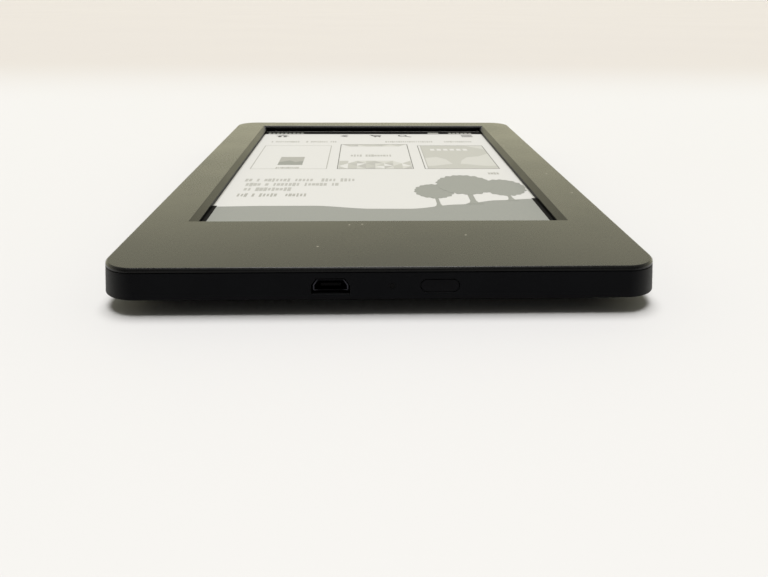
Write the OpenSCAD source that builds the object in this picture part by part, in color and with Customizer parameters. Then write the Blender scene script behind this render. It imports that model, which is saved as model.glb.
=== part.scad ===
// Six-inch e-reader lying on its back with the screen up. Millimetres.
// +Z points out of the screen, and -Y is the bottom edge, which holds the charging socket.
// The origin is the centre of the footprint, in the plane of the flat rear face.

/* [Case] */
// Overall width, at the widest line of the wall
body_w = 119; // [118:0.5:124]
// Overall length, at the widest line of the wall
body_l = 169; // [168:0.5:174]
// Overall thickness, from the flat rear face to the front face
body_t = 10.2; // [10.2:0.1:11.2]
// Corner radius of the widest outline
corner_r = 8; // [7:0.5:10]
// Height of the widest line above the rear face
belly_z = 3.5; // [3.3:0.1:3.6]
// How far each wall has leaned in where it reaches the front face
wall_lean = 1; // [0.9:0.1:1.2]
// How far the shallow rear bevel runs in before the flat rear face
rear_bevel = 7.5; // [7:0.5:8.5]
// Thickness of the rear cover's floor
floor_t = 1.3; // [1:0.1:1.4]
// Distance from the widest line to the inside face of the wall
wall_in = 3.1; // [2.8:0.1:3.2]
// Edge break around the front face
edge_break = 0.4; // [0.2:0.1:0.6]

/* [Screen window] */
// Width of the window at the front face
window_w = 94.2; // [92:0.2:96]
// Length of the window at the front face
window_l = 128.8; // [126:0.2:130]
// Distance of the window's centre above the middle of the case
window_y = 11; // [9:0.5:12]
// Run of the wide chamfer along the two long sides of the window
side_chamfer = 1.35; // [0.8:0.05:1.5]
// Run of the narrow chamfer at the two ends of the window
end_chamfer = 0.65; // [0.4:0.05:1]
// Depth of the display surface below the front face
recess = 2.3; // [2:0.1:2.6]

/* [Display] */
// Width of the active picture area
active_w = 90.6; // [88:0.2:91]
// Length of the active picture area
active_l = 122.4; // [120:0.2:123]
// Width of the glass panel
panel_w = 101.8; // [100:0.2:102]
// Length of the glass panel
panel_l = 138.4; // [136:0.2:139]

/* [Bottom edge] */
// Centre of the charging socket across the case
socket_x = -10.8; // [-20:0.2:-8]
// Centre of the charge light across the case
light_x = 2; // [-1:0.5:3]
// Centre of the power button across the case
button_x = 12; // [11:0.5:18]
// Width of the power button
button_w = 8; // [6:0.5:9]
// Height of the power button
button_h = 2.6; // [2:0.1:2.8]
// Travel of the power button
button_travel = 0.35; // [0.2:0.05:0.4]
// Height of the socket, light and button above the rear face
edge_row_z = 6.25; // [6.2:0.05:6.3]

/* [Hidden] */

round_fn = 48;
small_fn = 24;
wire_sides = 8;
eps = 0.01;

// Case levels
lean_rate = wall_lean / (body_t - belly_z);
seam_z = body_t - 0.9;
seam_gap = 0.2;
seam_depth = 0.35;
plate_z = body_t - 1.4;
cavity_w = body_w - 2 * wall_in;
cavity_l = body_l - 2 * wall_in;
cavity_r = corner_r - wall_in;
cavity_step_z = belly_z - 0.6;
cavity_foot = 5;

// Front bezel's skirt and snap barbs
skirt_gap = 0.15;
skirt_t = 1;
skirt_z = body_t - 2.4;
barb_l = 6;
barb_h = 0.5;
barb_out = 0.3;
barb_z = skirt_z + 0.2;
side_barbs_y = [-62, -31, 0, 31, 62];
end_barbs_x = [-38, 38];

// Layers between the floor and the display, from the top down
surface_z = body_t - recess;
film_t = 0.2;
panel_t = 0.7;
gasket_t = 0.2;
chassis_t = 0.9;
panel_top = surface_z - film_t;
gasket_top = panel_top - panel_t;
chassis_top = gasket_top - gasket_t;
chassis_z = chassis_top - chassis_t;

// Window opening and active area
opening_w = window_w - 2 * side_chamfer;
opening_l = window_l - 2 * end_chamfer;
end_wall_z = body_t - end_chamfer;
active_top_y = window_y + opening_l / 2 - 1.1;
active_y = active_top_y - active_l / 2;
panel_top_y = active_top_y + 4;
panel_y = panel_top_y - panel_l / 2;
panel_foot_y = panel_top_y - panel_l;

// Light guide ring and touch sensing board
guide_side = 5.4;
guide_top = 3;
guide_foot = 11.2;
touch_gap = 0.3;
touch_bar = 2;
touch_t = 0.6;
touch_top = chassis_top + touch_t;
sensor_len = 2.4;
sensor_deep = 1.2;
sensor_h = 1.2;
sensor_inset = 0.1;
side_sensors = 14;
end_sensors = 10;
guide_in_x = opening_w / 2;
guide_out_x = guide_in_x + guide_side;
guide_in_top = window_y + opening_l / 2;
guide_in_foot = window_y - opening_l / 2;
guide_out_top = guide_in_top + guide_top;
guide_out_foot = guide_in_foot - guide_foot;
ring_in_x = guide_out_x + touch_gap;
ring_in_top = guide_out_top + touch_gap;
ring_in_foot = guide_out_foot - touch_gap;

// Fasteners
frame_screw_x = cavity_w / 2 - 1.5;
frame_screw_y = [-74, -26, 22, 70];
boss_r = 1.35;
screw_r = 0.6;
clear_r = 0.75;
screw_head_r = 1.2;
screw_head_h = 0.7;
board_screw_at = [[-45, -74], [45, -74], [-45, -36], [45, -36], [0, -73.5]];
standoff_r = 2;

// Main board, standing below the chassis
board_w = 100;
board_t = 0.95;
board_top = edge_row_z - 1.3;
board_z = board_top - board_t;
board_front_y = -cavity_l / 2 + 1.4;
board_back_y = -30;
can_w = 42;
can_l = 30;
can_h = 1.8;
can_t = 0.2;
can_at = [1, -52];
connector_h = 0.85;
connector_deep = 3;

// Battery
cell_w = 62;
cell_l = 78;
cell_h = 3.9;
cell_y = 17;
pad_t = 0.4;
cell_top = chassis_z - pad_t;
cell_r = 3;
circuit_l = 3.4;
circuit_h = 1.2;
lead_r = 0.45;
lead_z = board_z - 0.8;
lead_pitch = 1.6;
lead_shift = 2;
plug_at = [22, -34];
plug_w = 7;
plug_l = 4;
plug_h = 1.6;

// Ribbons between the upper layers and the main board
flex_t = 0.15;
flex_low_z = board_top + 0.35;
display_flex_w = 40;
touch_flex_w = 7;
touch_flex_x = 32;

// Charging socket: shell outline, wide below and narrow above
shell_w = 7.4;
shell_h = 2.6;
shell_narrow = 5.6;
shell_knee = 1.3;
shell_t = 0.3;
shell_deep = 5.2;
shell_back_y = -78.1;
slot_gap = 0.35;
tongue_w = 4.2;
tongue_t = 0.6;
tongue_l = 3.2;
contact_w = 0.3;
contact_pitch = 0.65;

// Power button, its switch and the charge light
button_gap = 0.15;
button_set_back = 0.1;
flange_extra = 1.2;
flange_t = 0.5;
flange_y = -cavity_l / 2 + 0.1;
switch_w = 4.6;
switch_h = 2;
switch_deep = 1.8;
switch_y = flange_y + flange_t + button_travel + 0.35;
plunger_w = 1.8;
plunger_h = 0.8;
plunger_in = 0.9;
plunger_gap = 0.12;
pipe_r = 0.6;
pipe_gap = 0.05;
pipe_foot = 2;
pipe_foot_t = 0.9;

// Half width and half length of the leaning wall at height z
function lean(z) = lean_rate * (z - belly_z);
function wall_y(z) = body_l / 2 - lean(z);

// Outline of the socket shell, grown outwards by g
function shell_points(g) = [
    [-shell_w / 2 - g, -g],
    [shell_w / 2 + g, -g],
    [shell_w / 2 + g, shell_knee + 0.4 * g],
    [shell_narrow / 2 + 0.6 * g, shell_h + g],
    [-shell_narrow / 2 - 0.6 * g, shell_h + g],
    [-shell_w / 2 - g, shell_knee + 0.4 * g]
];

// Rectangle with rounded corners
module rounded_rect(w, l, r) {
    square([w - 2 * r, l], center = true);
    square([w, l - 2 * r], center = true);
    for (sx = [-1, 1], sy = [-1, 1])
        translate([sx * (w / 2 - r), sy * (l / 2 - r)])
            circle(r, $fn = round_fn);
}

// Flat slab with rounded corners between two heights
module slab(w, l, r, z0, z1) {
    translate([0, 0, z0])
        linear_extrude(z1 - z0)
            rounded_rect(w, l, r);
}

// Thin slice of the case's outline at height z, drawn in by inset
module outline_slice(z, inset) {
    d = lean(z) + inset;
    slab(body_w - 2 * d, body_l - 2 * d, corner_r - d, z, z + eps);
}

// Box that spans two corners
module span(low, high) {
    translate(low)
        cube(high - low);
}

// Upright box centred in x and y, standing on z
module block(at, size, z) {
    translate([at[0] - size[0] / 2, at[1] - size[1] / 2, z])
        cube(size);
}

// Rectangular frame between an inner and an outer box, given as [left, foot, right, top]
module frame(inner, outer, z0, z1) {
    difference() {
        span([outer[0], outer[1], z0], [outer[2], outer[3], z1]);
        span([inner[0], inner[1], z0 - 1], [inner[2], inner[3], z1 + 1]);
    }
}

// Pill with its long axis across the case, running along Y
module pill(w, h, y0, y1) {
    for (sx = [-1, 1])
        translate([sx * (w - h) / 2, y0, 0])
            rotate([-90, 0, 0])
                cylinder(r = h / 2, h = y1 - y0, $fn = round_fn);
    span([-(w - h) / 2, y0, -h / 2], [(w - h) / 2, y1, h / 2]);
}

// Unit vector from one point towards another
function toward(a, b) = (b - a) / norm(b - a);

// Direction of a route at its point i, halfway between the stretches on either side
function heading(route, i) =
    i == 0 ? toward(route[0], route[1])
    : i == len(route) - 1 ? toward(route[i - 1], route[i])
    : toward([0, 0, 0], toward(route[i - 1], route[i]) + toward(route[i], route[i + 1]));

// Wire with wire_sides flats along a route that stays near one level
module wire(route, r) {
    n = len(route);
    rings = [
        for (i = [0 : n - 1])
            let (d = heading(route, i), side = toward([0, 0, 0], cross(d, [0, 0, 1])), up = cross(side, d))
                for (k = [0 : wire_sides - 1])
                    route[i] + r * (cos(360 * k / wire_sides) * side + sin(360 * k / wire_sides) * up)
    ];
    walls = [
        for (i = [0 : n - 2], k = [0 : wire_sides - 1])
            let (a = i * wire_sides + k, b = i * wire_sides + (k + 1) % wire_sides)
                [a, a + wire_sides, b + wire_sides, b]
    ];
    first_cap = [for (k = [0 : wire_sides - 1]) k];
    last_cap = [for (k = [wire_sides - 1 : -1 : 0]) (n - 1) * wire_sides + k];
    polyhedron(points = rings, faces = concat(walls, [first_cap, last_cap]));
}

// Pan-head screw along +Z with its head below
module screw(length) {
    cylinder(r = screw_r, h = length, $fn = small_fn);
    difference() {
        translate([0, 0, -screw_head_h])
            cylinder(r = screw_head_r, h = screw_head_h, $fn = small_fn);
        for (a = [0, 90])
            rotate(a)
                translate([-0.75, -0.15, -screw_head_h - eps])
                    cube([1.5, 0.3, 0.35]);
    }
}

// Wedge-sided cut that opens the screen window: wide chamfers at the sides, narrow ones at the ends
module window_cut() {
    over = 1;
    side_rise = side_chamfer * over / (body_t - plate_z);
    intersection() {
        rotate([90, 0, 0])
            translate([0, 0, -body_l / 2])
                linear_extrude(body_l)
                    polygon([
                        [-opening_w / 2, plate_z - over],
                        [opening_w / 2, plate_z - over],
                        [opening_w / 2, plate_z],
                        [window_w / 2 + side_rise, body_t + over],
                        [-window_w / 2 - side_rise, body_t + over],
                        [-opening_w / 2, plate_z]
                    ]);
        rotate([90, 0, 90])
            translate([window_y, 0, -body_w / 2])
                linear_extrude(body_w)
                    polygon([
                        [-opening_l / 2, plate_z - over],
                        [opening_l / 2, plate_z - over],
                        [opening_l / 2, end_wall_z],
                        [window_l / 2 + over, body_t + over],
                        [-window_l / 2 - over, body_t + over],
                        [-opening_l / 2, end_wall_z]
                    ]);
    }
}

// Row of snap barbs around the skirt, grown by g on every side
module barbs(g) {
    x = cavity_w / 2 - skirt_gap;
    y = cavity_l / 2 - skirt_gap;
    out = barb_out + g;
    for (sx = [-1, 1], by = side_barbs_y)
        block([sx * (x + out / 2 - 0.1), by], [out + 0.2, barb_l + 2 * g, barb_h + 2 * g], barb_z - g);
    for (sy = [-1, 1], bx = end_barbs_x)
        block([bx, sy * (y + out / 2 - 0.1)], [barb_l + 2 * g, out + 0.2, barb_h + 2 * g], barb_z - g);
}

// Rear cover: floor, shallow bevel and leaning walls in one moulded tub
module rear_cover() {
    color("#17171a")
        difference() {
            union() {
                hull() {
                    slab(body_w - 2 * rear_bevel, body_l - 2 * rear_bevel, corner_r - 1, 0, eps);
                    slab(body_w, body_l, corner_r, belly_z, belly_z + eps);
                }
                hull() {
                    outline_slice(belly_z, 0);
                    outline_slice(seam_z - seam_gap - eps, 0);
                }
                slab(
                    body_w - 2 * (lean(seam_z) + seam_depth),
                    body_l - 2 * (lean(seam_z) + seam_depth),
                    corner_r - lean(seam_z) - seam_depth,
                    belly_z, seam_z
                );
            }
            hull() {
                slab(
                    cavity_w - 2 * cavity_foot, cavity_l - 2 * cavity_foot, cavity_r,
                    floor_t, floor_t + eps
                );
                slab(cavity_w, cavity_l, cavity_r, cavity_step_z, cavity_step_z + eps);
            }
            slab(cavity_w, cavity_l, cavity_r, cavity_step_z, body_t);
            barbs(0.1);
            socket_slot();
            translate([button_x, 0, edge_row_z])
                pill(button_w + 2 * button_gap, button_h + 2 * button_gap, -body_l / 2, 1 - cavity_l / 2);
            translate([light_x, -body_l / 2, edge_row_z])
                rotate([-90, 0, 0])
                    cylinder(r = pipe_r + pipe_gap, h = 5, $fn = small_fn);
        }
}

// Slot in the bottom wall that lets the plug reach the socket
module socket_slot() {
    translate([socket_x, 1 - cavity_l / 2, edge_row_z - shell_h / 2])
        rotate([90, 0, 0])
            linear_extrude(6)
                polygon(shell_points(slot_gap));
}

// Front bezel: face plate with the screen window, a skirt inside the wall and screw bosses
module front_bezel() {
    plate_w = cavity_w - 2 * skirt_gap;
    plate_l = cavity_l - 2 * skirt_gap;
    color("#26262a")
        difference() {
            union() {
                hull() {
                    outline_slice(seam_z, 0);
                    outline_slice(body_t - edge_break, 0);
                    outline_slice(body_t - eps, edge_break);
                }
                slab(plate_w, plate_l, cavity_r, plate_z, seam_z + eps);
                difference() {
                    slab(plate_w, plate_l, cavity_r, skirt_z, plate_z + eps);
                    slab(
                        plate_w - 2 * skirt_t, plate_l - 2 * skirt_t, cavity_r - skirt_t,
                        skirt_z - 1, plate_z
                    );
                }
                barbs(0);
                for (sx = [-1, 1], y = frame_screw_y)
                    translate([sx * frame_screw_x, y, chassis_top])
                        cylinder(r = boss_r, h = plate_z - chassis_top + eps, $fn = small_fn);
            }
            window_cut();
            for (sx = [-1, 1], y = frame_screw_y)
                translate([sx * frame_screw_x, y, chassis_top - 1])
                    cylinder(r = screw_r, h = seam_z - chassis_top + 1, $fn = small_fn);
        }
}

// Chassis: stiff plate that carries the display above, and the board and battery below
module chassis() {
    rib_t = 1;
    rib_h = 2;
    bay_w = cell_w + 1.2;
    bay_l = cell_l + 1.2;
    notch_deep = 5;
    notch_w = 36;
    color("#8d9096")
        difference() {
            union() {
                slab(cavity_w - 0.6, cavity_l - 0.6, cavity_r, chassis_z, chassis_top);
                for (sx = [-1, 1])
                    block([sx * (bay_w + rib_t) / 2, cell_y], [rib_t, bay_l, rib_h], chassis_z - rib_h);
                block([0, cell_y + (bay_l + rib_t) / 2], [bay_w + 2 * rib_t, rib_t, rib_h], chassis_z - rib_h);
                for (at = board_screw_at)
                    translate([at[0], at[1], board_top])
                        cylinder(r = standoff_r, h = chassis_z - board_top + eps, $fn = small_fn);
            }
            for (sx = [-1, 1], y = frame_screw_y)
                translate([sx * frame_screw_x, y, chassis_z - 1])
                    cylinder(r = clear_r, h = chassis_t + 2, $fn = small_fn);
            for (at = board_screw_at)
                translate([at[0], at[1], board_top - 1])
                    cylinder(r = screw_r, h = chassis_top - board_top + 0.7, $fn = small_fn);
            block([0, panel_foot_y - 1.2], [display_flex_w + 4, 2, 3], chassis_z - 1);
            block(
                [touch_flex_x, ring_in_foot - touch_bar - 1.6],
                [touch_flex_w + 2, 1.6, 3], chassis_z - 1
            );
            block([1, -cavity_l / 2], [notch_w, 2 * notch_deep, 3], chassis_z - 1);
        }
}

// Display film: the thin electronic-ink laminate whose upper face is the screen
module display_film() {
    film_margin = 3;
    color("#dcdbd5")
        span(
            [-active_w / 2 - film_margin, guide_in_foot - film_margin, panel_top],
            [active_w / 2 + film_margin, active_top_y + film_margin, surface_z]
        );
}

// Display panel: glass backplane under the film
module display_panel() {
    color("#3a4a46")
        block([0, panel_y], [panel_w, panel_l, panel_t], gasket_top);
}

// Display gasket: foam tape frame between the panel and the chassis
module display_gasket() {
    in_x = panel_w / 2 - 4.5;
    out_x = panel_w / 2 - 0.5;
    color("#1d1d1d")
        frame(
            [-in_x, panel_foot_y + 5, in_x, panel_top_y - 4.5],
            [-out_x, panel_foot_y + 0.5, out_x, panel_top_y - 0.5],
            chassis_top, gasket_top
        );
}

// Ribbon that leaves a high shelf, drops straight down and runs out at a low level
module ribbon(w, high_y, bend_y, low_y, high_z, low_z) {
    span([-w / 2, bend_y, high_z], [w / 2, high_y, high_z + flex_t]);
    span([-w / 2, bend_y, low_z], [w / 2, bend_y + flex_t, high_z + flex_t]);
    span([-w / 2, low_y, low_z], [w / 2, bend_y + flex_t, low_z + flex_t]);
}

// Display flex: ribbon from the panel's lower ledge down to the main board
module display_flex() {
    bend_y = panel_foot_y - 1.3;
    color("#b5762a")
        ribbon(display_flex_w, panel_foot_y + 2, bend_y, bend_y - 2, panel_top, flex_low_z);
}

// Light guide: infrared-clear ring that forms the upright wall around the screen
module light_guide() {
    color("#0b0b0d")
        frame(
            [-guide_in_x, guide_in_foot, guide_in_x, guide_in_top],
            [-guide_out_x, guide_out_foot, guide_out_x, guide_out_top],
            surface_z, plate_z
        );
}

// Touch board: slim circuit ring that carries the infrared emitters and receivers
module touch_board() {
    out_x = ring_in_x + touch_bar;
    color("#1f5a3a")
        frame(
            [-ring_in_x, ring_in_foot, ring_in_x, ring_in_top],
            [-out_x, ring_in_foot - touch_bar, out_x, ring_in_top + touch_bar],
            chassis_top, touch_top
        );
}

// One run of sensors along a long side, on the side given by sx
module side_sensor_row(sx) {
    first = guide_in_foot + 4;
    step = (opening_l - 8) / (side_sensors - 1);
    for (i = [0 : side_sensors - 1])
        block(
            [sx * (ring_in_x + sensor_inset + sensor_deep / 2), first + i * step],
            [sensor_deep, sensor_len, sensor_h], touch_top
        );
}

// One run of sensors along an end bar centred on y
module end_sensor_row(y) {
    step = (opening_w - 8) / (end_sensors - 1);
    for (i = [0 : end_sensors - 1])
        block([4 - opening_w / 2 + i * step, y], [sensor_len, sensor_deep, sensor_h], touch_top);
}

// Infrared emitters along the right side and the foot
module ir_emitters() {
    color("#4a2f52") {
        side_sensor_row(1);
        end_sensor_row(ring_in_foot - sensor_inset - sensor_deep / 2);
    }
}

// Infrared receivers along the left side and the top
module ir_receivers() {
    color("#20242c") {
        side_sensor_row(-1);
        end_sensor_row(ring_in_top + sensor_inset + sensor_deep / 2);
    }
}

// Touch flex: narrow ribbon from the touch board down to the main board
module touch_flex() {
    bar_foot_y = ring_in_foot - touch_bar;
    bend_y = bar_foot_y - 1.7;
    color("#c48a3a")
        translate([touch_flex_x, 0, 0])
            ribbon(touch_flex_w, bar_foot_y + 0.6, bend_y, bend_y - 2, touch_top, flex_low_z);
}

// Main board: rigid circuit board behind the bottom edge
module main_board() {
    length = board_back_y - board_front_y;
    color("#1c5c34")
        difference() {
            translate([0, (board_front_y + board_back_y) / 2, 0])
                slab(board_w, length, 2, board_z, board_top);
            for (at = board_screw_at)
                translate([at[0], at[1], board_z - 1])
                    cylinder(r = clear_r, h = board_t + 2, $fn = small_fn);
        }
}

// Processor on the board's lower face
module processor() {
    color("#222226")
        block([can_at[0] - 9, can_at[1] + 2], [14, 14, 1.2], board_z - 1.2);
}

// Memory and storage packages beside the processor
module memory_chips() {
    color("#2a2a2e") {
        block([can_at[0] + 10, can_at[1] + 6], [11.5, 13, 1], board_z - 1);
        block([can_at[0] + 10, can_at[1] - 8], [11.5, 8, 1], board_z - 1);
    }
}

// Shield can: thin metal lid over the processor and the memory
module shield_can() {
    color("#b8bac0")
        difference() {
            block(can_at, [can_w, can_l, can_h], board_z - can_h);
            block(can_at, [can_w - 2 * can_t, can_l - 2 * can_t, can_h], board_z - can_h + can_t);
        }
}

// Wireless module on the board's lower face
module wifi_module() {
    color("#9fa3aa")
        block([-32, -40], [12, 10, 1.6], board_z - 1.6);
}

// Antenna: thin strip on the inside of the top wall
module antenna() {
    strip_w = 44;
    strip_t = 0.4;
    color("#c98f3c")
        span(
            [-strip_w / 2, cavity_l / 2 - strip_t, 3],
            [strip_w / 2, cavity_l / 2, 5.4]
        );
}

// Antenna lead: fine coaxial wire from the wireless module up the left side
module antenna_lead() {
    run_x = -52;
    turn_y = cavity_l / 2 - 2.2;
    color("#2b2b2b")
        translate([0, 0, 3.2])
            wire([
                [-38, -40, 0],
                [run_x + 1.5, -40, 0],
                [run_x, -38.5, 0],
                [run_x, turn_y - 3, 0],
                [run_x + 3, turn_y, 0],
                [-24, turn_y, 0],
                [-21, cavity_l / 2 - 1, 0.8]
            ], 0.5);
}

// Board connectors: sockets for the display flex, the touch flex and the battery
module board_connectors() {
    display_y = panel_foot_y - 3.3 - connector_deep / 2;
    touch_y = ring_in_foot - touch_bar - 3.7 - connector_deep / 2;
    color("#d8d2c0") {
        block([0, display_y], [display_flex_w + 2, connector_deep, connector_h], board_top);
        block([touch_flex_x, touch_y], [touch_flex_w + 1.5, connector_deep, connector_h], board_top);
        block(plug_at, [plug_w, plug_l, plug_h], board_z - plug_h);
    }
}

// Battery cell: flat lithium pouch in the bay under the chassis
module battery_cell() {
    color("#c7c9cc")
        translate([0, cell_y, 0])
            slab(cell_w, cell_l, cell_r, cell_top - cell_h, cell_top);
}

// Battery circuit: protection board on the end of the cell
module battery_circuit() {
    color("#1f4f7a")
        block(
            [0, cell_y - cell_l / 2 - circuit_l / 2],
            [cell_w - 8, circuit_l, circuit_h], lead_z - circuit_h / 2
        );
}

// Battery lead: three fine wires from the protection board to the plug
module battery_lead() {
    start_y = cell_y - cell_l / 2 - circuit_l;
    end_y = plug_at[1] + plug_l / 2;
    color("#b03028")
        for (i = [-1 : 1])
            translate([plug_at[0] + i * lead_pitch, 0, lead_z])
                wire([
                    [-lead_shift, start_y, 0],
                    [-lead_shift, start_y - 1.2, 0],
                    [0, end_y + 1.2, 0],
                    [0, end_y, 0]
                ], lead_r);
}

// Battery pad: adhesive foam that holds the cell to the chassis
module battery_pad() {
    color("#2f3a40")
        block([0, cell_y], [cell_w - 12, cell_l - 12, pad_t], cell_top);
}

// Socket shell: folded steel tube, wide below and narrow above
module usb_shell() {
    color("#2e2e31")
        translate([socket_x, shell_back_y, edge_row_z - shell_h / 2])
            rotate([90, 0, 0])
                difference() {
                    linear_extrude(shell_deep)
                        polygon(shell_points(0));
                    translate([0, 0, shell_t])
                        linear_extrude(shell_deep)
                            polygon(shell_points(-shell_t));
                }
}

// Socket tongue: moulded block at the back of the shell with a blade of contacts
module usb_tongue() {
    block_l = 1;
    blade_z = 0.45;
    color("#1b1b1b")
        translate([socket_x, shell_back_y - shell_t, edge_row_z - shell_h / 2])
            rotate([90, 0, 0]) {
                linear_extrude(block_l)
                    polygon(shell_points(-shell_t - 0.01));
                translate([-tongue_w / 2, shell_knee - blade_z, block_l - eps])
                    cube([tongue_w, tongue_t, tongue_l]);
                for (i = [-2 : 2])
                    translate([
                        i * contact_pitch - contact_w / 2,
                        shell_knee - blade_z + tongue_t - eps,
                        block_l - eps
                    ])
                        cube([contact_w, 0.12, tongue_l - 0.3]);
            }
}

// Power button: pill-shaped cap, flush with the leaning wall, with a flange inside the case
module power_button() {
    face_y = -wall_y(edge_row_z) + button_set_back;
    lean_angle = atan(lean_rate);
    color("#101012")
        translate([button_x, 0, edge_row_z]) {
            intersection() {
                pill(button_w, button_h, -body_l / 2, flange_y + eps);
                translate([0, face_y, 0])
                    rotate([-lean_angle, 0, 0])
                        translate([-button_w, 0, -button_h * 2])
                            cube([2 * button_w, 8, 4 * button_h]);
            }
            span(
                [-button_w / 2 - flange_extra, flange_y, -button_h / 2 - 0.05],
                [button_w / 2 + flange_extra, flange_y + flange_t, button_h / 2 + 0.05]
            );
        }
}

// Switch plunger: small blade that the button pushes into the switch
module switch_plunger() {
    color("#e0ddd2")
        translate([button_x, 0, edge_row_z])
            span(
                [-plunger_w / 2, flange_y + flange_t, -plunger_h / 2],
                [plunger_w / 2, switch_y + plunger_in, plunger_h / 2]
            );
}

// Power switch: side-acting switch body on the main board, with a pocket for the plunger
module power_switch() {
    color("#3a3a3e")
        difference() {
            block([button_x, switch_y + switch_deep / 2], [switch_w, switch_deep, switch_h], board_top);
            translate([button_x, 0, edge_row_z])
                span(
                    [-plunger_w / 2 - plunger_gap, switch_y - 1, -plunger_h / 2 - plunger_gap],
                    [
                        plunger_w / 2 + plunger_gap,
                        switch_y + plunger_in + button_travel + 0.15,
                        plunger_h / 2 + plunger_gap
                    ]
                );
        }
}

// Charge light: side-facing diode on the main board
module charge_led() {
    color("#e8e2c8")
        block([light_x, board_front_y + 0.5], [1.6, 0.8, 1.6], board_top);
}

// Light pipe: smoked peg through the bottom wall with a square foot in front of the diode
module light_pipe() {
    tip_y = -wall_y(edge_row_z) + button_set_back;
    color("#18181a")
        translate([light_x, 0, edge_row_z]) {
            translate([0, tip_y, 0])
                rotate([-90, 0, 0])
                    cylinder(r = pipe_r, h = flange_y - tip_y + eps, $fn = small_fn);
            span(
                [-pipe_foot / 2, flange_y, -pipe_foot / 2],
                [pipe_foot / 2, flange_y + pipe_foot_t, pipe_foot / 2]
            );
        }
}

// Frame screws: hold the chassis to the bezel's bosses
module frame_screws() {
    color("#9a9ca0")
        for (sx = [-1, 1], y = frame_screw_y)
            translate([sx * frame_screw_x, y, chassis_z])
                screw(seam_z - chassis_z - 0.3);
}

// Board screws: hold the main board to the chassis
module board_screws() {
    color("#a6a8ac")
        for (at = board_screw_at)
            translate([at[0], at[1], board_z])
                screw(chassis_top - board_z - 0.5);
}

rear_cover();
front_bezel();
chassis();
display_film();
display_panel();
display_gasket();
display_flex();
light_guide();
touch_board();
ir_emitters();
ir_receivers();
touch_flex();
main_board();
processor();
memory_chips();
shield_can();
wifi_module();
antenna();
antenna_lead();
board_connectors();
battery_cell();
battery_circuit();
battery_lead();
battery_pad();
usb_shell();
usb_tongue();
power_button();
switch_plunger();
power_switch();
charge_led();
light_pipe();
frame_screws();
board_screws();
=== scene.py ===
"""Looks of a six-inch e-reader that lies on its back with the screen up.

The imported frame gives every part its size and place. This script rounds the moulded shells, draws the
picture on the screen, adds the fine detail that the frame leaves out, dresses every part in its real
material, and sets a plain pale studio around it. Lengths in the dataclasses are millimetres; meshes are in
metres.
"""

from __future__ import annotations

import logging
import math
import random
from dataclasses import dataclass, field
from enum import Enum

import bmesh
import bpy
from mathutils import Matrix, Vector

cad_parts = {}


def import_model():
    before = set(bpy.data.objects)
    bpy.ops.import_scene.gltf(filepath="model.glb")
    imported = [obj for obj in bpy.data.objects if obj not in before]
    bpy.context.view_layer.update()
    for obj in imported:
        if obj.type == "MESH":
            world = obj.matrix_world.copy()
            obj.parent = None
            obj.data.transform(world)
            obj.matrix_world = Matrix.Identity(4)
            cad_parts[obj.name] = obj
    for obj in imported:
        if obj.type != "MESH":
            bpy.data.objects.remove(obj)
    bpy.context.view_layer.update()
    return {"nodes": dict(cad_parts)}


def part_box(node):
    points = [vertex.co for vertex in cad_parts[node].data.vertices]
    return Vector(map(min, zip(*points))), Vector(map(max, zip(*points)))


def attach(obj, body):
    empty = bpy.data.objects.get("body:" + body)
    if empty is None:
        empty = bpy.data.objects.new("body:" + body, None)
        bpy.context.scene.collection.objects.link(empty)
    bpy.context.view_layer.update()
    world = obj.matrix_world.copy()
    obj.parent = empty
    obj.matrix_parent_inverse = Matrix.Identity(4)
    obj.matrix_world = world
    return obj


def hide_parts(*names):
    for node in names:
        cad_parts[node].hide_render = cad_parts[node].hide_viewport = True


MM = 0.001
# Corners of a frame part closer together than this are one corner.
WELD = 0.002 * MM
# Folds of less than this many degrees are facets of one face.
FLAT_FOLD = 0.8
LOG = logging.getLogger("e_reader")
Point = tuple[float, float]
Colour = tuple[float, float, float, float]
Inputs = dict[str | int, object]
Source = bpy.types.Node | bpy.types.NodeSocket
Nodes = dict[str, bpy.types.Object]

LAYER_WEIGHT = "ShaderNodeLayerWeight"
MAPPING = "ShaderNodeMapping"
NOISE = "ShaderNodeTexNoise"
VORONOI = "ShaderNodeTexVoronoi"
WAVE = "ShaderNodeTexWave"
RANGE = "ShaderNodeMapRange"
MATH = "ShaderNodeMath"
MIX = "ShaderNodeMix"
BUMP = "ShaderNodeBump"
SPLIT = "ShaderNodeSeparateXYZ"
JOIN = "ShaderNodeCombineXYZ"
RANDOM = "FunctionNodeRandomValue"
COPIES = "GeometryNodeInstanceOnPoints"
# Most of a noise pattern lies between these two values.
MIDDLE = {"From Min": 0.3, "From Max": 0.7}


class Body(Enum):
    """The rigid bodies of the reader."""

    CASE = "case"
    POWER_KEY = "power_key"


# Small tools


def linear(hex_colour: str, by: tuple[float, float, float] = (1.0, 1.0, 1.0)) -> Colour:
    """Turns an sRGB hex colour into linear light.

    Args:
        hex_colour: Colour such as "#1a1a1c".
        by: Factors for red, green and blue, applied in linear light.

    Returns:
        Red, green, blue and an alpha of 1.
    """
    channels = [int(hex_colour[i : i + 2], 16) / 255 for i in (1, 3, 5)]
    curve = [c / 12.92 if c <= 0.04045 else ((c + 0.055) / 1.055) ** 2.4 for c in channels]
    return (curve[0] * by[0], curve[1] * by[1], curve[2] * by[2], 1.0)


def per(size: float) -> float:
    """Returns the scale of a pattern whose features are this many millimetres across."""
    return 1 / (size * MM)


def live(source: Source) -> bpy.types.NodeSocket:
    """Returns a socket as it is, or a node's first output that is in use."""
    if isinstance(source, bpy.types.NodeSocket):
        return source
    return next(socket for socket in source.outputs if socket.enabled)


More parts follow.
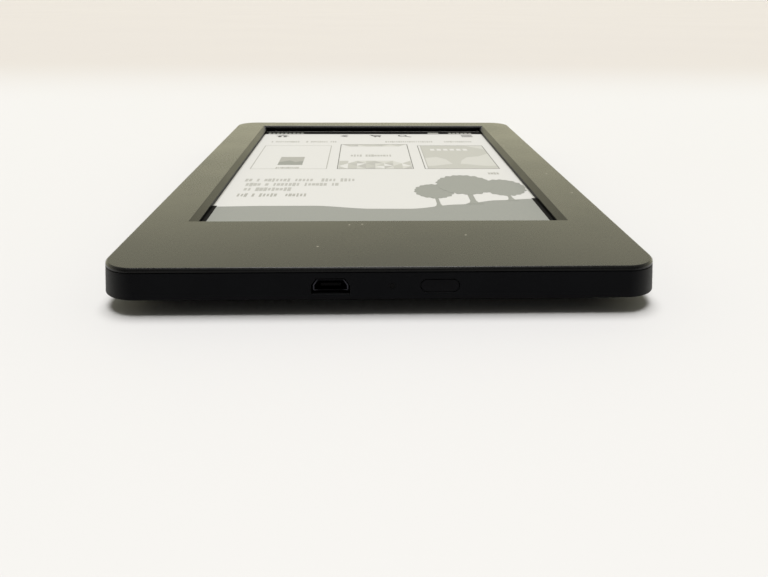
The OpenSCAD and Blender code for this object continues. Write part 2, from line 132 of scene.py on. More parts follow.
def add_node(
    tree: bpy.types.NodeTree, kind: str, inputs: Inputs | None = None, **settings: object
) -> bpy.types.Node:
    """Adds one node to a tree with its settings, its values and its links.

    Args:
        tree: Shader or geometry tree that gets the node.
        kind: Node type, such as "ShaderNodeTexNoise".
        inputs: Input name or number to a plain value, or to a node or output socket to link from.
        **settings: Properties of the node itself.

    Returns:
        The new node.
    """
    node = tree.nodes.new(kind)
    for key, value in settings.items():
        setattr(node, key, value)
    for key, value in (inputs or {}).items():
        if isinstance(value, Source):
            tree.links.new(live(value), node.inputs[key])
        else:
            node.inputs[key].default_value = value
    return node


# Finishes


@dataclass(frozen=True)
class Finish:
    """A real material with its own name; each kind of finish paints its own pattern."""

    name: str
    colour: str

    def even(self) -> Inputs:
        """Returns the shader's values that are the same all over."""
        return {}

    def paint(self, tree: bpy.types.NodeTree, at: bpy.types.NodeSocket) -> dict[str, Source]:
        """Adds the pattern's nodes.

        Args:
            tree: Tree of the material.
            at: Object coordinates.

        Returns:
            Shader inputs and what drives them.
        """
        raise NotImplementedError

    def material(self) -> bpy.types.Material:
        """Finds the material, and builds it the first time.

        Returns:
            The node material.
        """
        found = bpy.data.materials.get(self.name)
        if found is not None:
            return found
        material = bpy.data.materials.new(self.name)
        material.use_nodes = True
        tree = material.node_tree
        tree.nodes.clear()
        coords = add_node(tree, "ShaderNodeTexCoord")
        shader = add_node(tree, "ShaderNodeBsdfPrincipled", self.even())
        for label, source in self.paint(tree, coords.outputs["Object"]).items():
            tree.links.new(live(source), shader.inputs[label])
        add_node(tree, "ShaderNodeOutputMaterial", {"Surface": shader})
        return material


@dataclass(frozen=True)
class MouldedPlastic(Finish):
    """Plastic from a spark-eroded mould: a fine pebble grain, and a soft sheen at low angles."""

    tone: str = "#141416"
    roughness: float = 0.42
    specular: float = 0.5
    head_on: float = 0.12
    grain: float = 0.35
    grain_depth: float = 0.012
    grain_strength: float = 0.25
    glitter: float = 0.03
    handling: float = 0.035
    dust: float = 0.0
    dust_colour: str = "#928e84"

    def even(self) -> Inputs:
        """Returns the index of the plastic."""
        return {"IOR": 1.5}

    def paint(self, tree: bpy.types.NodeTree, at: bpy.types.NodeSocket) -> dict[str, Source]:
        """Paints the pebble grain, the faint handling marks and the odd speck of dust.

        Args:
            tree: Tree of the material.
            at: Object coordinates.

        Returns:
            Shader inputs and what drives them.
        """
        # The grain swallows light that meets it head on and shines only where light grazes it.
        facing = add_node(tree, LAYER_WEIGHT, {"Blend": 0.5}).outputs["Facing"]
        gloss = {"To Min": self.specular * self.head_on, "To Max": self.specular}
        sheen = add_node(tree, RANGE, {"Value": facing, "From Min": 0.1, "From Max": 0.6, **gloss})
        cloud = add_node(tree, NOISE, {"Vector": at, "Scale": per(9.0), "Detail": 3.0})
        shades = {6: linear(self.colour), 7: linear(self.tone)}
        plain = add_node(tree, MIX, {0: cloud, **shades}, data_type="RGBA")
        # Palms and fingers leave broad patches that shine a little more than the rest.
        marks = add_node(tree, NOISE, {"Vector": at, "Scale": per(24.0), "Detail": 4.0})
        limits = {"To Min": self.roughness - self.handling, "To Max": self.roughness + self.handling}
        worn = add_node(tree, RANGE, {"Value": marks, **MIDDLE, **limits})
        # The real grain is about 0.1 mm; it is drawn coarser so that it shows.
        pebble = add_node(tree, NOISE, {"Vector": at, "Scale": per(self.grain), "Detail": 2.0})
        spark = {"To Min": -self.glitter, "To Max": self.glitter}
        glint = add_node(tree, RANGE, {"Value": pebble, **MIDDLE, **spark})
        rough = add_node(tree, MATH, {0: worn, 1: glint}, operation="ADD")
        relief = {"Distance": self.grain_depth * MM, "Strength": self.grain_strength}
        normal = add_node(tree, BUMP, {"Height": pebble, **relief})
        if self.dust > 0:
            # One speck in a few of the 7 mm cells, 0.3 to 0.6 mm across.
            specks = add_node(tree, VORONOI, {"Vector": at, "Scale": per(7.0)}, voronoi_dimensions="2D")
            rim = {"From Min": 0.02, "From Max": 0.045, "To Min": 1.0, "To Max": 0.0}
            near = add_node(tree, RANGE, {"Value": specks, **rim})
            some = {0: specks.outputs["Color"], 1: 1 - self.dust}
            chosen = add_node(tree, MATH, some, operation="GREATER_THAN")
            mask = add_node(tree, MATH, {0: near, 1: chosen}, operation="MULTIPLY")
            dusty = {6: plain, 7: linear(self.dust_colour)}
            plain = add_node(tree, MIX, {0: mask, **dusty}, data_type="RGBA")
        return {"Base Color": plain, "Roughness": rough, "Normal": normal, "Specular IOR Level": sheen}


@dataclass(frozen=True)
class PolishedPlastic(Finish):
    """Polished acrylic or resin: smooth, with faint drifts of roughness where it has been wiped."""

    roughness: float = 0.12
    specular: float = 0.5
    transmission: float = 0.0

    def even(self) -> Inputs:
        """Returns the gloss and the clearness."""
        return {"IOR": 1.49, "Specular IOR Level": self.specular, "Transmission Weight": self.transmission}

    def paint(self, tree: bpy.types.NodeTree, at: bpy.types.NodeSocket) -> dict[str, Source]:
        """Paints the wiped gloss over a nearly even colour.

        Args:
            tree: Tree of the material.
            at: Object coordinates.

        Returns:
            Shader inputs and what drives them.
        """
        drawn = add_node(tree, MAPPING, {"Vector": at, "Scale": (1, 3, 1)})
        wipe = add_node(tree, NOISE, {"Vector": drawn, "Scale": per(6.0), "Detail": 3.0})
        limits = {"To Min": self.roughness, "To Max": self.roughness + 0.08}
        rough = add_node(tree, RANGE, {"Value": wipe, **MIDDLE, **limits})
        tint = add_node(tree, NOISE, {"Vector": at, "Scale": per(3.0), "Detail": 2.0})
        shades = {6: linear(self.colour), 7: linear(self.colour, (0.8,) * 3)}
        colour = add_node(tree, MIX, {0: tint, **shades}, data_type="RGBA")
        waves = add_node(tree, NOISE, {"Vector": at, "Scale": per(1.5), "Detail": 2.0})
        normal = add_node(tree, BUMP, {"Height": waves, "Distance": 0.002 * MM, "Strength": 0.2})
        return {"Base Color": colour, "Roughness": rough, "Normal": normal}


@dataclass(frozen=True)
class InkFilm(Finish):
    """Electronic-ink film: matt like paper, with a fine speckle from its ink capsules."""

    speckle: float = 0.03
    specular: float = 0.25
    warmth: tuple[float, float, float] = (1.0, 0.992, 0.975)

    def even(self) -> Inputs:
        """Returns the low gloss."""
        return {"IOR": 1.45, "Specular IOR Level": self.specular}

    def paint(self, tree: bpy.types.NodeTree, at: bpy.types.NodeSocket) -> dict[str, Source]:
        """Paints the capsule speckle and the matt, slightly uneven surface.

        Args:
            tree: Tree of the material.
            at: Object coordinates.

        Returns:
            Shader inputs and what drives them.
        """
        # Capsules are about 0.05 mm across; the speckle is drawn five times coarser so that it shows.
        capsules = add_node(tree, NOISE, {"Vector": at, "Scale": per(0.25), "Detail": 1.0})
        spots = add_node(tree, RANGE, {"Value": capsules, **MIDDLE})
        dark, light = (linear(self.colour, (1 + step,) * 3) for step in (-self.speckle, self.speckle))
        ends = {6: dark, 7: light}
        grain = add_node(tree, MIX, {0: spots, **ends}, data_type="RGBA")
        drift = add_node(tree, NOISE, {"Vector": at, "Scale": per(40.0), "Detail": 2.0})
        tints = {6: linear(self.colour), 7: linear(self.colour, self.warmth)}
        soft = add_node(tree, MIX, {0: drift, **tints}, data_type="RGBA")
        colour = add_node(tree, MIX, {0: 0.5, 6: grain, 7: soft}, data_type="RGBA")
        rough = add_node(tree, RANGE, {"Value": capsules, **MIDDLE, "To Min": 0.55, "To Max": 0.7})
        normal = add_node(tree, BUMP, {"Height": capsules, "Distance": 0.002 * MM, "Strength": 0.15})
        return {"Base Color": colour, "Roughness": rough, "Normal": normal}


@dataclass(frozen=True)
class SheetMetal(Finish):
    """Pressed, plated or cast metal: fine directional lines or cast grain, with tarnish in drifts."""

    shade: str = "#8a8c90"
    roughness: float = 0.3
    grain: float = 0.25
    stretch: tuple[int, int, int] = (1, 12, 1)
    depth: float = 0.004

    def even(self) -> Inputs:
        """Returns the bare metal."""
        return {"Metallic": 1.0}

    def paint(self, tree: bpy.types.NodeTree, at: bpy.types.NodeSocket) -> dict[str, Source]:
        """Paints the drawn lines, the tarnish and the uneven polish of a metal part.

        Args:
            tree: Tree of the material.
            at: Object coordinates.

        Returns:
            Shader inputs and what drives them.
        """
        drawn = add_node(tree, MAPPING, {"Vector": at, "Scale": self.stretch})
        lines = add_node(tree, NOISE, {"Vector": drawn, "Scale": per(self.grain), "Detail": 3.0})
        drift = add_node(tree, NOISE, {"Vector": at, "Scale": per(4.0), "Detail": 4.0})
        tarnish = add_node(tree, RANGE, {"Value": drift, **MIDDLE})
        shades = {6: linear(self.colour), 7: linear(self.shade)}
        colour = add_node(tree, MIX, {0: tarnish, **shades}, data_type="RGBA")
        limits = {"To Min": self.roughness - 0.06, "To Max": self.roughness + 0.1}
        rough = add_node(tree, RANGE, {"Value": lines, **MIDDLE, **limits})
        normal = add_node(tree, BUMP, {"Height": lines, "Distance": self.depth * MM, "Strength": 0.4})
        return {"Base Color": colour, "Roughness": rough, "Normal": normal}


@dataclass(frozen=True)
class GlintEndPlating(SheetMetal):
    """Dark plating with a painted highlight: both ends of the mouth are painted lighter, as glints."""

    # The painted highlight: its colour, and how far from the middle of the mouth it starts and is full.
    glint_colour: str = "#333338"
    middle: float = -10.8
    plain_reach: float = 2.5
    glint_reach: float = 3.2

    def paint(self, tree: bpy.types.NodeTree, at: bpy.types.NodeSocket) -> dict[str, Source]:
        """Adds the painted highlights at both ends of the mouth to the plated metal.

        Args:
            tree: Tree of the material.
            at: Object coordinates.

        Returns:
            Shader inputs and what drives them.
        """
        painted = super().paint(tree, at)
        across = add_node(tree, SPLIT, {"Vector": at}).outputs["X"]
        away = add_node(tree, MATH, {0: across, 1: self.middle * MM}, operation="SUBTRACT")
        side = add_node(tree, MATH, {0: away}, operation="ABSOLUTE")
        limits = {"From Min": self.plain_reach * MM, "From Max": self.glint_reach * MM}
        # Painted highlight: towards both ends of the mouth the colour turns lighter.
        glint_mask = add_node(tree, RANGE, {"Value": side, **limits})
        shades = {6: painted["Base Color"], 7: linear(self.glint_colour)}
        painted["Base Color"] = add_node(tree, MIX, {0: glint_mask, **shades}, data_type="RGBA")
        return painted


@dataclass(frozen=True)
class SolderMask(Finish):
    """Glass-fibre board under green solder mask: raised copper tracks, with the weave faintly below."""

    track: str = "#2f7a4c"
    patch: float = 9.0

    def even(self) -> Inputs:
        """Returns the glossy lacquer."""
        return {"IOR": 1.52, "Coat Weight": 0.3, "Coat Roughness": 0.15}

    def paint(self, tree: bpy.types.NodeTree, at: bpy.types.NodeSocket) -> dict[str, Source]:
        """Paints tracks that run two ways in patches, and the woven glass under them.

        Args:
            tree: Tree of the material.
            at: Object coordinates.

        Returns:
            Shader inputs and what drives them.
        """
        place_and_size = {"Vector": at, "Scale": per(self.patch)}
        runs = []
        for direction in ("X", "Y"):
            wander = {**place_and_size, "Distortion": 0.6, "Detail": 1.0}
            wave = add_node(tree, WAVE, wander, wave_type="BANDS", bands_direction=direction)
            runs.append(add_node(tree, MATH, {0: wave.outputs["Fac"], 1: 0.72}, operation="GREATER_THAN"))
        patches = add_node(tree, VORONOI, place_and_size).outputs["Color"]
        choose = add_node(tree, MATH, {0: patches, 1: 0.5}, operation="GREATER_THAN")
        tracks = add_node(tree, MIX, {0: choose, 2: runs[0], 3: runs[1]}, data_type="FLOAT")
        shades = {6: linear(self.colour), 7: linear(self.track)}
        colour = add_node(tree, MIX, {0: tracks, **shades}, data_type="RGBA")
        weave = add_node(tree, NOISE, {"Vector": at, "Scale": per(0.5), "Detail": 1.0})
        rough = add_node(tree, RANGE, {"Value": weave, **MIDDLE, "To Min": 0.3, "To Max": 0.42})
        raised = add_node(tree, BUMP, {"Height": tracks, "Distance": 0.03 * MM, "Strength": 0.5})
        woven = {"Height": weave, "Distance": 0.004 * MM, "Strength": 0.2, "Normal": raised}
        return {"Base Color": colour, "Roughness": rough, "Normal": add_node(tree, BUMP, woven)}


@dataclass(frozen=True)
class CopperFilm(Finish):
    """Polyimide ribbon: amber film over parallel copper tracks that show through it as stripes."""

    copper: str = "#b9672a"
    pitch: float = 0.5

    def even(self) -> Inputs:
        """Returns the satin film."""
        return {"IOR": 1.7, "Coat Weight": 0.4, "Coat Roughness": 0.25}

    def paint(self, tree: bpy.types.NodeTree, at: bpy.types.NodeSocket) -> dict[str, Source]:
        """Paints the stripes along the ribbon and the satin film over them.

        Args:
            tree: Tree of the material.
            at: Object coordinates.

        Returns:
            Shader inputs and what drives them.
        """
        # A wave pattern of scale 1 repeats about every 0.3 units.
        tracks = {"Vector": at, "Scale": 0.3 * per(self.pitch), "Distortion": 0.0}
        stripes = add_node(tree, WAVE, tracks, wave_type="BANDS", bands_direction="X").outputs["Fac"]
        shades = {6: linear(self.colour), 7: linear(self.copper)}
        colour = add_node(tree, MIX, {0: stripes, **shades}, data_type="RGBA")
        cloud = add_node(tree, NOISE, {"Vector": at, "Scale": per(2.0), "Detail": 2.0})
        rough = add_node(tree, RANGE, {"Value": cloud, **MIDDLE, "To Min": 0.3, "To Max": 0.42})
        normal = add_node(tree, BUMP, {"Height": stripes, "Distance": 0.01 * MM, "Strength": 0.5})
        return {"Base Color": colour, "Roughness": rough, "Normal": normal}


@dataclass(frozen=True)
class SoftFoam(Finish):
    """Closed-cell foam tape or a rubber sleeve: matt, with small open cells on the cut face."""

    cell: float = 0.4

    def even(self) -> Inputs:
        """Returns the dull surface."""
        return {"IOR": 1.5, "Specular IOR Level": 0.3}

    def paint(self, tree: bpy.types.NodeTree, at: bpy.types.NodeSocket) -> dict[str, Source]:
        """Paints the cells and the dusty matt surface.

        Args:
            tree: Tree of the material.
            at: Object coordinates.

        Returns:
            Shader inputs and what drives them.
        """
        cells = add_node(tree, VORONOI, {"Vector": at, "Scale": per(self.cell)})
        shades = {6: linear(self.colour, (0.5,) * 3), 7: linear(self.colour)}
        colour = add_node(tree, MIX, {0: cells, **shades}, data_type="RGBA")
        dusty = add_node(tree, NOISE, {"Vector": at, "Scale": per(2.0), "Detail": 2.0})
        rough = add_node(tree, RANGE, {"Value": dusty, **MIDDLE, "To Min": 0.75, "To Max": 0.9})
        normal = add_node(tree, BUMP, {"Height": cells, "Distance": 0.05 * MM, "Strength": 0.5})
        return {"Base Color": colour, "Roughness": rough, "Normal": normal}


@dataclass(frozen=True)
class Laminate(Finish):
    """Matt white laminate of the table top: faint clouds, and a slightly greyer tone far away."""

    far_colour: str = "#bbb7b5"
    near_y: float = 0.2
    far_y: float = 0.5

    def even(self) -> Inputs:
        """Returns the low gloss."""
        return {"Specular IOR Level": 0.2}

    def paint(self, tree: bpy.types.NodeTree, at: bpy.types.NodeSocket) -> dict[str, Source]:
        """Paints the clouds and the far tone.

        Args:
            tree: Tree of the material.
            at: Object coordinates.

        Returns:
            Shader inputs and what drives them.
        """
        cloud = add_node(tree, NOISE, {"Vector": at, "Scale": per(300.0), "Detail": 3.0})
        shades = {6: linear(self.colour, (0.985,) * 3), 7: linear(self.colour)}
        near = add_node(tree, MIX, {0: cloud, **shades}, data_type="RGBA")
        along = add_node(tree, SPLIT, {"Vector": at}).outputs["Y"]
        reach = {"Value": along, "From Min": self.near_y, "From Max": self.far_y}
        away = add_node(tree, RANGE, reach, interpolation_type="SMOOTHSTEP")
        colour = add_node(tree, MIX, {0: away, 6: near, 7: linear(self.far_colour)}, data_type="RGBA")
        rough = add_node(tree, RANGE, {"Value": cloud, **MIDDLE, "To Min": 0.6, "To Max": 0.7})
        return {"Base Color": colour, "Roughness": rough}


class Shade(Enum):
    """Greys that the ink film can show, as the colour of its surface."""

    BLACK = "#0d0d0d"
    INK = "#2a2a28"
    DARK = "#6a6a67"
    SOFT = "#9a9a96"
    MEDIUM = "#92928d"
    HILL = "#80827e"
    CROWN = "#80827d"
    PALE = "#a1a19c"
    FAINT = "#aeaeaa"
    PAGE = "#b9b9b8"
    MARGIN = "#a2a29d"

    def finish(self) -> InkFilm:
        """Returns the ink finish of this grey."""
        specular = 0.06 if self is Shade.BLACK else 0.25
        return InkFilm(f"electronic_ink_{self.name.lower()}", self.value, specular=specular)


# Matt black polycarbonate blend, spark-eroded: it shines grey only where light grazes it.
BEZEL_PLASTIC = MouldedPlastic(
    "black_polycarbonate_bezel", "#0c0c0d", "#111110", 0.26, head_on=0.3, grain_strength=0.02, dust=0.14
)
# The slope round the window comes from a smoother, darker part of the same mould.
WINDOW_EDGE = MouldedPlastic(
    "black_polycarbonate_window_edge", "#0c0c0d", "#111110", 0.3, 0.26, head_on=0.5, grain_strength=0.03
)
# The cover is the same plastic with a soft-touch lacquer, so it takes the light even less.
COVER_PLASTIC = MouldedPlastic(
    "black_soft_touch_cover", "#151517", "#191a1c", 0.5, 0.2, grain=0.45, grain_strength=0.3
)
# Acetal cap: a shade greyer than the cover round it, with a soft sheen.
BUTTON_PLASTIC = MouldedPlastic(
    "black_acetal_button", "#161618", "#1a1a1c", 0.46, 0.22, grain=0.3, grain_strength=0.15
)
# Acrylic that is black to the eye and clear to infrared: a smooth wall that hardly reflects.
GUIDE_PLASTIC = PolishedPlastic("black_infrared_acrylic", "#0c0c0d", roughness=0.3, specular=0.05)
# Smoked acrylic: a nearly black, smooth end that hides the unlit diode.
PIPE_PLASTIC = PolishedPlastic("smoked_acrylic_pipe", "#0c0c0d", roughness=0.35, specular=0.06)
# Clear resin with a violet cast, as the domes of emitters have.
LENS_RESIN = PolishedPlastic("violet_emitter_resin", "#4b3556", roughness=0.08, transmission=0.5)
# Resin that is black to the eye: it tells the receivers from the emitters.
DARK_RESIN = PolishedPlastic("black_receiver_resin", "#15161b", roughness=0.1)
# Phosphor in clear resin: pale yellow while the diode is off.
DIODE_RESIN = PolishedPlastic("yellow_phosphor_resin", "#d8cf9c", roughness=0.2)
# Glass over its dark circuit: a smooth sheet of greenish grey.
PANEL_GLASS = PolishedPlastic("coated_backplane_glass", "#33413c", roughness=0.05)
# Blackened nickel plate over steel: its rolled edges catch the light, and both ends of the mouth carry a
# painted highlight.
SOCKET_STEEL = GlintEndPlating("black_nickel_steel", "#151517", "#0e0e10", roughness=0.3, depth=0.003)
# Tinned sheet: pale grey with soft drawn streaks.
CAN_STEEL = SheetMetal("tinned_steel_sheet", "#b4b6ba", "#a9abb0", roughness=0.28)
# Zinc over steel: a cool bright grey with darker drifts.
SCREW_STEEL = SheetMetal("zinc_plated_screw", "#a5a8ad", "#77797e", 0.26, 0.2, (1, 1, 1))
# Magnesium as cast: dull grey with a coarse skin.
CAST_METAL = SheetMetal("cast_magnesium", "#8a8d93", "#83868c", 0.46, stretch=(1, 1, 1), depth=0.02)
# Foil laminated with nylon: silver, with the shallow dents of a soft pouch.
POUCH_FOIL = SheetMetal("laminated_pouch_foil", "#bfc2c6", "#b8bbc0", 0.34, 3.0, (1, 1, 1), 0.08)
# Green lacquer over glass fibre: dark and glossy, with lighter tracks.
BOARD_MASK = SolderMask("green_solder_mask", "#0f4526")
# Polyimide over copper: amber with fine stripes.
RIBBON_FILM = CopperFilm("amber_polyimide_ribbon", "#7d4310")
# Foam tape: a flat black that shows its cells on the cut.
FOAM_TAPE = SoftFoam("black_foam_tape", "#232323")
# Cable sleeves: dull and a little dusty, in black and in red.
BLACK_SLEEVE = SoftFoam("black_cable_sleeve", "#1a1a1a", cell=0.15)
RED_SLEEVE = SoftFoam("red_silicone_sleeve", "#a02a20", cell=0.15)
# Moulded epoxy: dark grey with a sandy skin.
CHIP_EPOXY = MouldedPlastic(
    "black_epoxy_package", "#1d1e20", "#26272a", roughness=0.5, grain=0.2, grain_strength=0.3
)
# Nylon connectors: cream with a faint gloss.
CREAM_NYLON = MouldedPlastic("cream_nylon_connector", "#d2cab4", "#c4bba2", roughness=0.42, grain=0.3)
# The same nylon in black: an even, dull insulator.
BLACK_NYLON = MouldedPlastic("black_nylon_insulator", "#0d0d0e", "#131314", 0.5, 0.2, grain=0.3)
# Matt white laminate: pale, with a slightly warmer tone far away that the black plastic mirrors.
TABLE_LAMINATE = Laminate("matt_white_laminate", "#c5c5c7")


# Meshes


def finish_mesh(bm: bmesh.types.BMesh, name: str) -> bpy.types.Mesh:
    """Writes a bmesh into a new mesh and frees it."""
    mesh = bpy.data.meshes.new(name)
    bm.to_mesh(mesh)
    bm.free()
    return mesh


def place(
    name: str,
    mesh: bpy.types.Mesh,
    finishes: list[Finish],
    body: Body,
    replaces: tuple[str, ...] = (),
) -> bpy.types.Object:
    """Makes a mesh a piece of the reader.

    Args:
        name: Name of the piece.
        mesh: Its mesh, already in place.
        finishes: One finish for each material slot of the mesh.
        body: Body that the piece moves with.
        replaces: Frame nodes that the piece stands for.

    Returns:
        The new object.
    """
    while len(mesh.materials) < len(finishes):
        mesh.materials.append(None)
    for number, finish in enumerate(finishes):
        mesh.materials[number] = finish.material()
    piece = bpy.data.objects.new(name, mesh)
    bpy.context.scene.collection.objects.link(piece)
    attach(piece, body.value)
    if replaces:
        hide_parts(*replaces)
    LOG.info("%s: %d faces on %s", name, len(mesh.polygons), body.value)
    return piece


def prism(bm: bmesh.types.BMesh, outline: list[Point], low: float, high: float, shade: int = 0) -> None:
    """Adds an upright prism over a flat outline.

    Args:
        bm: Mesh that gets the prism.
        outline: Corners in metres, in order round the shape.
        low: Height of the foot in metres.
        high: Height of the top in metres.
        shade: Material number of its faces.
    """
    area = sum(a[0] * b[1] - b[0] * a[1] for a, b in zip(outline, outline[1:] + outline[:1]))
    corners = outline if area > 0 else outline[::-1]
    foot = [bm.verts.new((x, y, low)) for x, y in corners]
    top = [bm.verts.new((x, y, high)) for x, y in corners]
    faces = [bm.faces.new(top), bm.faces.new(foot[::-1])]
    for i, vert in enumerate(foot):
        after = (i + 1) % len(foot)
        faces.append(bm.faces.new((vert, foot[after], top[after], top[i])))
    for face in faces:
        face.material_index = shade


def turned(profile: list[Point], segments: int = 24) -> bmesh.types.BMesh:
    """Turns a profile about the Z axis into a closed solid.

    Args:
        profile: Radius and height in millimetres, from the foot to the top; both ends lie on the axis.
        segments: Sides of the turned shape.

    Returns:
        The solid, in metres.
    """
    bm = bmesh.new()
    rings = []
    for radius, height in profile:
        if radius == 0:
            rings.append([bm.verts.new((0, 0, height * MM))])
            continue
        ring = []
        for k in range(segments):
            a = 2 * math.pi * k / segments
            ring.append(bm.verts.new((radius * MM * math.cos(a), radius * MM * math.sin(a), height * MM)))
        rings.append(ring)
    for lower, upper in zip(rings, rings[1:]):
        for k in range(segments):
            after = (k + 1) % segments
            corners = [lower[k % len(lower)], lower[after % len(lower)]]
            corners += [upper[after % len(upper)], upper[k % len(upper)]]
            bm.faces.new(list(dict.fromkeys(corners)))
    bmesh.ops.recalc_face_normals(bm, faces=bm.faces)
    return bm


def blocks(node: bpy.types.Object) -> list[tuple[Vector, Vector]]:
    """Finds the low and high corners of each separate solid of a frame group.

    Args:
        node: Frame group of several solids.

    Returns:
        One pair of corners for each solid, from left to right and front to back.
    """
    bm = bmesh.new()
    bm.from_mesh(node.data)
    bmesh.ops.remove_doubles(bm, verts=bm.verts, dist=WELD)
    left = set(bm.verts)
    found = []
    while left:
        block = {left.pop()}
        front = list(block)
        while front:
            vert = front.pop()
            linked = {edge.other_vert(vert) for edge in vert.link_edges} - block
            block |= linked
            front.extend(linked)
        left -= block
        low = Vector([min(v.co[i] for v in block) for i in range(3)])
        high = Vector([max(v.co[i] for v in block) for i in range(3)])
        found.append((low, high))
    bm.free()
    return sorted(found, key=lambda pair: (round(pair[0].x, 5), round(pair[0].y, 5), round(pair[0].z, 5)))


def evaluated(obj: bpy.types.Object, name: str) -> bpy.types.Mesh:
    """Applies an object's modifiers into a plain mesh and removes the object."""
    depsgraph = bpy.context.evaluated_depsgraph_get()
    final = obj.evaluated_get(depsgraph)
    mesh = bpy.data.meshes.new_from_object(final, preserve_all_data_layers=True, depsgraph=depsgraph)
    mesh.name = name
    bpy.data.objects.remove(obj)
    return mesh


def weighted(mesh: bpy.types.Mesh, name: str, sharp: float = 60.0) -> bpy.types.Mesh:
    """Shades a mesh smooth with flat faces kept flat, so that narrow rounds read as rounds.

    Args:
        mesh: Mesh with its rounds already cut.
        name: Name of the new mesh.
        sharp: Angle in degrees above which an edge stays hard.

    Returns:
        The shaded mesh.
    """
    mesh.shade_smooth()
    mesh.set_sharp_from_angle(angle=math.radians(sharp))
    obj = bpy.data.objects.new(name + "_shading", mesh)
    bpy.context.scene.collection.objects.link(obj)
    modifier = obj.modifiers.new("weighted", "WEIGHTED_NORMAL")
    modifier.keep_sharp = True
    modifier.weight = 80
    return evaluated(obj, name)


def softened(
    node: bpy.types.Object, name: str, width: float, steps: int = 2, angle: float = 20.0
) -> bpy.types.Mesh:
    """Copies a frame part and rounds its edges, as a mould or a press leaves them.

    Args:
        node: Frame part to copy.
        name: Name of the new mesh.
        width: Width of the rounds in millimetres.
        steps: Segments across each round.
        angle: Least fold in degrees that counts as an edge.

    Returns:
        The rounded mesh.
    """
    bm = bmesh.new()
    bm.from_mesh(node.data)
    bmesh.ops.remove_doubles(bm, verts=bm.verts, dist=WELD)
    bmesh.ops.dissolve_limit(bm, angle_limit=math.radians(FLAT_FOLD), verts=bm.verts, edges=bm.edges)
    bmesh.ops.recalc_face_normals(bm, faces=bm.faces)
    fold = math.radians(angle)
    edges = [e for e in bm.edges if len(e.link_faces) == 2 and e.calc_face_angle(0.0) > fold]
    bmesh.ops.bevel(
        bm,
        geom=edges,
        offset=width * MM,
        offset_type="OFFSET",
        segments=steps,
        profile=0.5,
        affect="EDGES",
        clamp_overlap=False,
    )
    return weighted(finish_mesh(bm, name), name)


# Geometry Nodes


class Rule:
    """A Geometry Nodes tree with named inputs, run once to make a plain mesh."""

    def __init__(self, name: str, inputs: dict[str, tuple[str, object]]) -> None:
        """Starts the tree.

        Args:
            name: Name of the rule.
            inputs: Input name to its socket type and default value.
        """
        self.tree = bpy.data.node_groups.new(name, "GeometryNodeTree")
        self.tree.interface.new_socket("Geometry", in_out="INPUT", socket_type="NodeSocketGeometry")
        for label, (kind, default) in inputs.items():
            socket = self.tree.interface.new_socket(label, in_out="INPUT", socket_type=kind)
            if default is not None:
                socket.default_value = default
        self.tree.interface.new_socket("Geometry", in_out="OUTPUT", socket_type="NodeSocketGeometry")
        self.start = self.add("NodeGroupInput")

    def add(self, kind: str, inputs: Inputs | None = None, **settings: object) -> bpy.types.Node:
        """Adds a node to the rule's tree."""
        return add_node(self.tree, kind, inputs, **settings)

    def value(self, label: str) -> bpy.types.NodeSocket:
        """Returns the socket of a named input."""
        return self.start.outputs[label]

    def end(self, instances: Source, *labels: str) -> None:
        """Ends the tree: real meshes instead of instances, each face in its material.

        Args:
            instances: What carries the instances.
            *labels: Material inputs, for the faces of material number 0, 1 and so on.
        """
        last = self.add("GeometryNodeRealizeInstances", {"Geometry": instances})
        number = self.add("GeometryNodeInputMaterialIndex")
        for index, label in enumerate(labels):
            same = {2: number, 3: index}
            mine = self.add("FunctionNodeCompare", same, data_type="INT", operation="EQUAL")
            chosen = {"Geometry": last, "Selection": mine, "Material": self.value(label)}
            last = self.add("GeometryNodeSetMaterial", chosen)
        self.add("NodeGroupOutput", {"Geometry": last})

    def run(self, name: str, base: bpy.types.Mesh, settings: dict[str, object]) -> bpy.types.Mesh:
        """Runs the rule on a base mesh.

        Args:
            name: Name of the new mesh.
            base: Mesh that the rule starts from.
            settings: Input name to the value for this run.

        Returns:
            The plain mesh that the rule makes.
        """
        obj = bpy.data.objects.new(name, base)
        modifier = obj.modifiers.new("rule", "NODES")
        modifier.node_group = self.tree
        sockets = {s.name: s.identifier for s in self.tree.interface.items_tree if s.in_out == "INPUT"}
        for label, setting in settings.items():
            modifier[sockets[label]] = setting
        bpy.context.scene.collection.objects.link(obj)
        return evaluated(obj, name)


def points_mesh(name: str, points: list[Vector]) -> bpy.types.Mesh:
    """Makes a mesh of loose points."""
    mesh = bpy.data.meshes.new(name)
    mesh.from_pydata([tuple(p) for p in points], [], [])
    return mesh


def face_materials(*finishes: Finish) -> dict[str, object]:
    """Returns a rule's material inputs for the faces of material number 0 and 1."""
    return dict(zip(("Material", "End Material"), (finish.material() for finish in finishes)))


def copies_rule(name: str) -> Rule:
    """Makes the rule that puts a turned copy of one part at every point of a mesh.

    Args:
        name: Name of the rule.

    Returns:
        The rule.
    """
    rule = Rule(
        name,
        {
            "Part": ("NodeSocketObject", None),
            "Turn": ("NodeSocketRotation", None),
            "Random Turn": ("NodeSocketFloat", 0.0),
            "Seed": ("NodeSocketInt", 7),
            "Material": ("NodeSocketMaterial", None),
            "End Material": ("NodeSocketMaterial", None),
        },
    )
    part = rule.add("GeometryNodeObjectInfo", {"Object": rule.value("Part")}, transform_space="ORIGINAL")
    limits = {"Seed": rule.value("Seed"), 2: 0.0, 3: rule.value("Random Turn")}
    spin = rule.add(RANDOM, limits, data_type="FLOAT")
    euler = rule.add("FunctionNodeEulerToRotation", {0: rule.add(JOIN, {"Z": spin})})
    turns = {"Rotation": rule.value("Turn"), "Rotate By": euler}
    both = rule.add("FunctionNodeRotateRotation", turns, rotation_space="LOCAL")
    stands = {"Points": rule.value("Geometry"), "Instance": part.outputs["Geometry"], "Rotation": both}
    rule.end(rule.add(COPIES, stands), "Material", "End Material")
    return rule


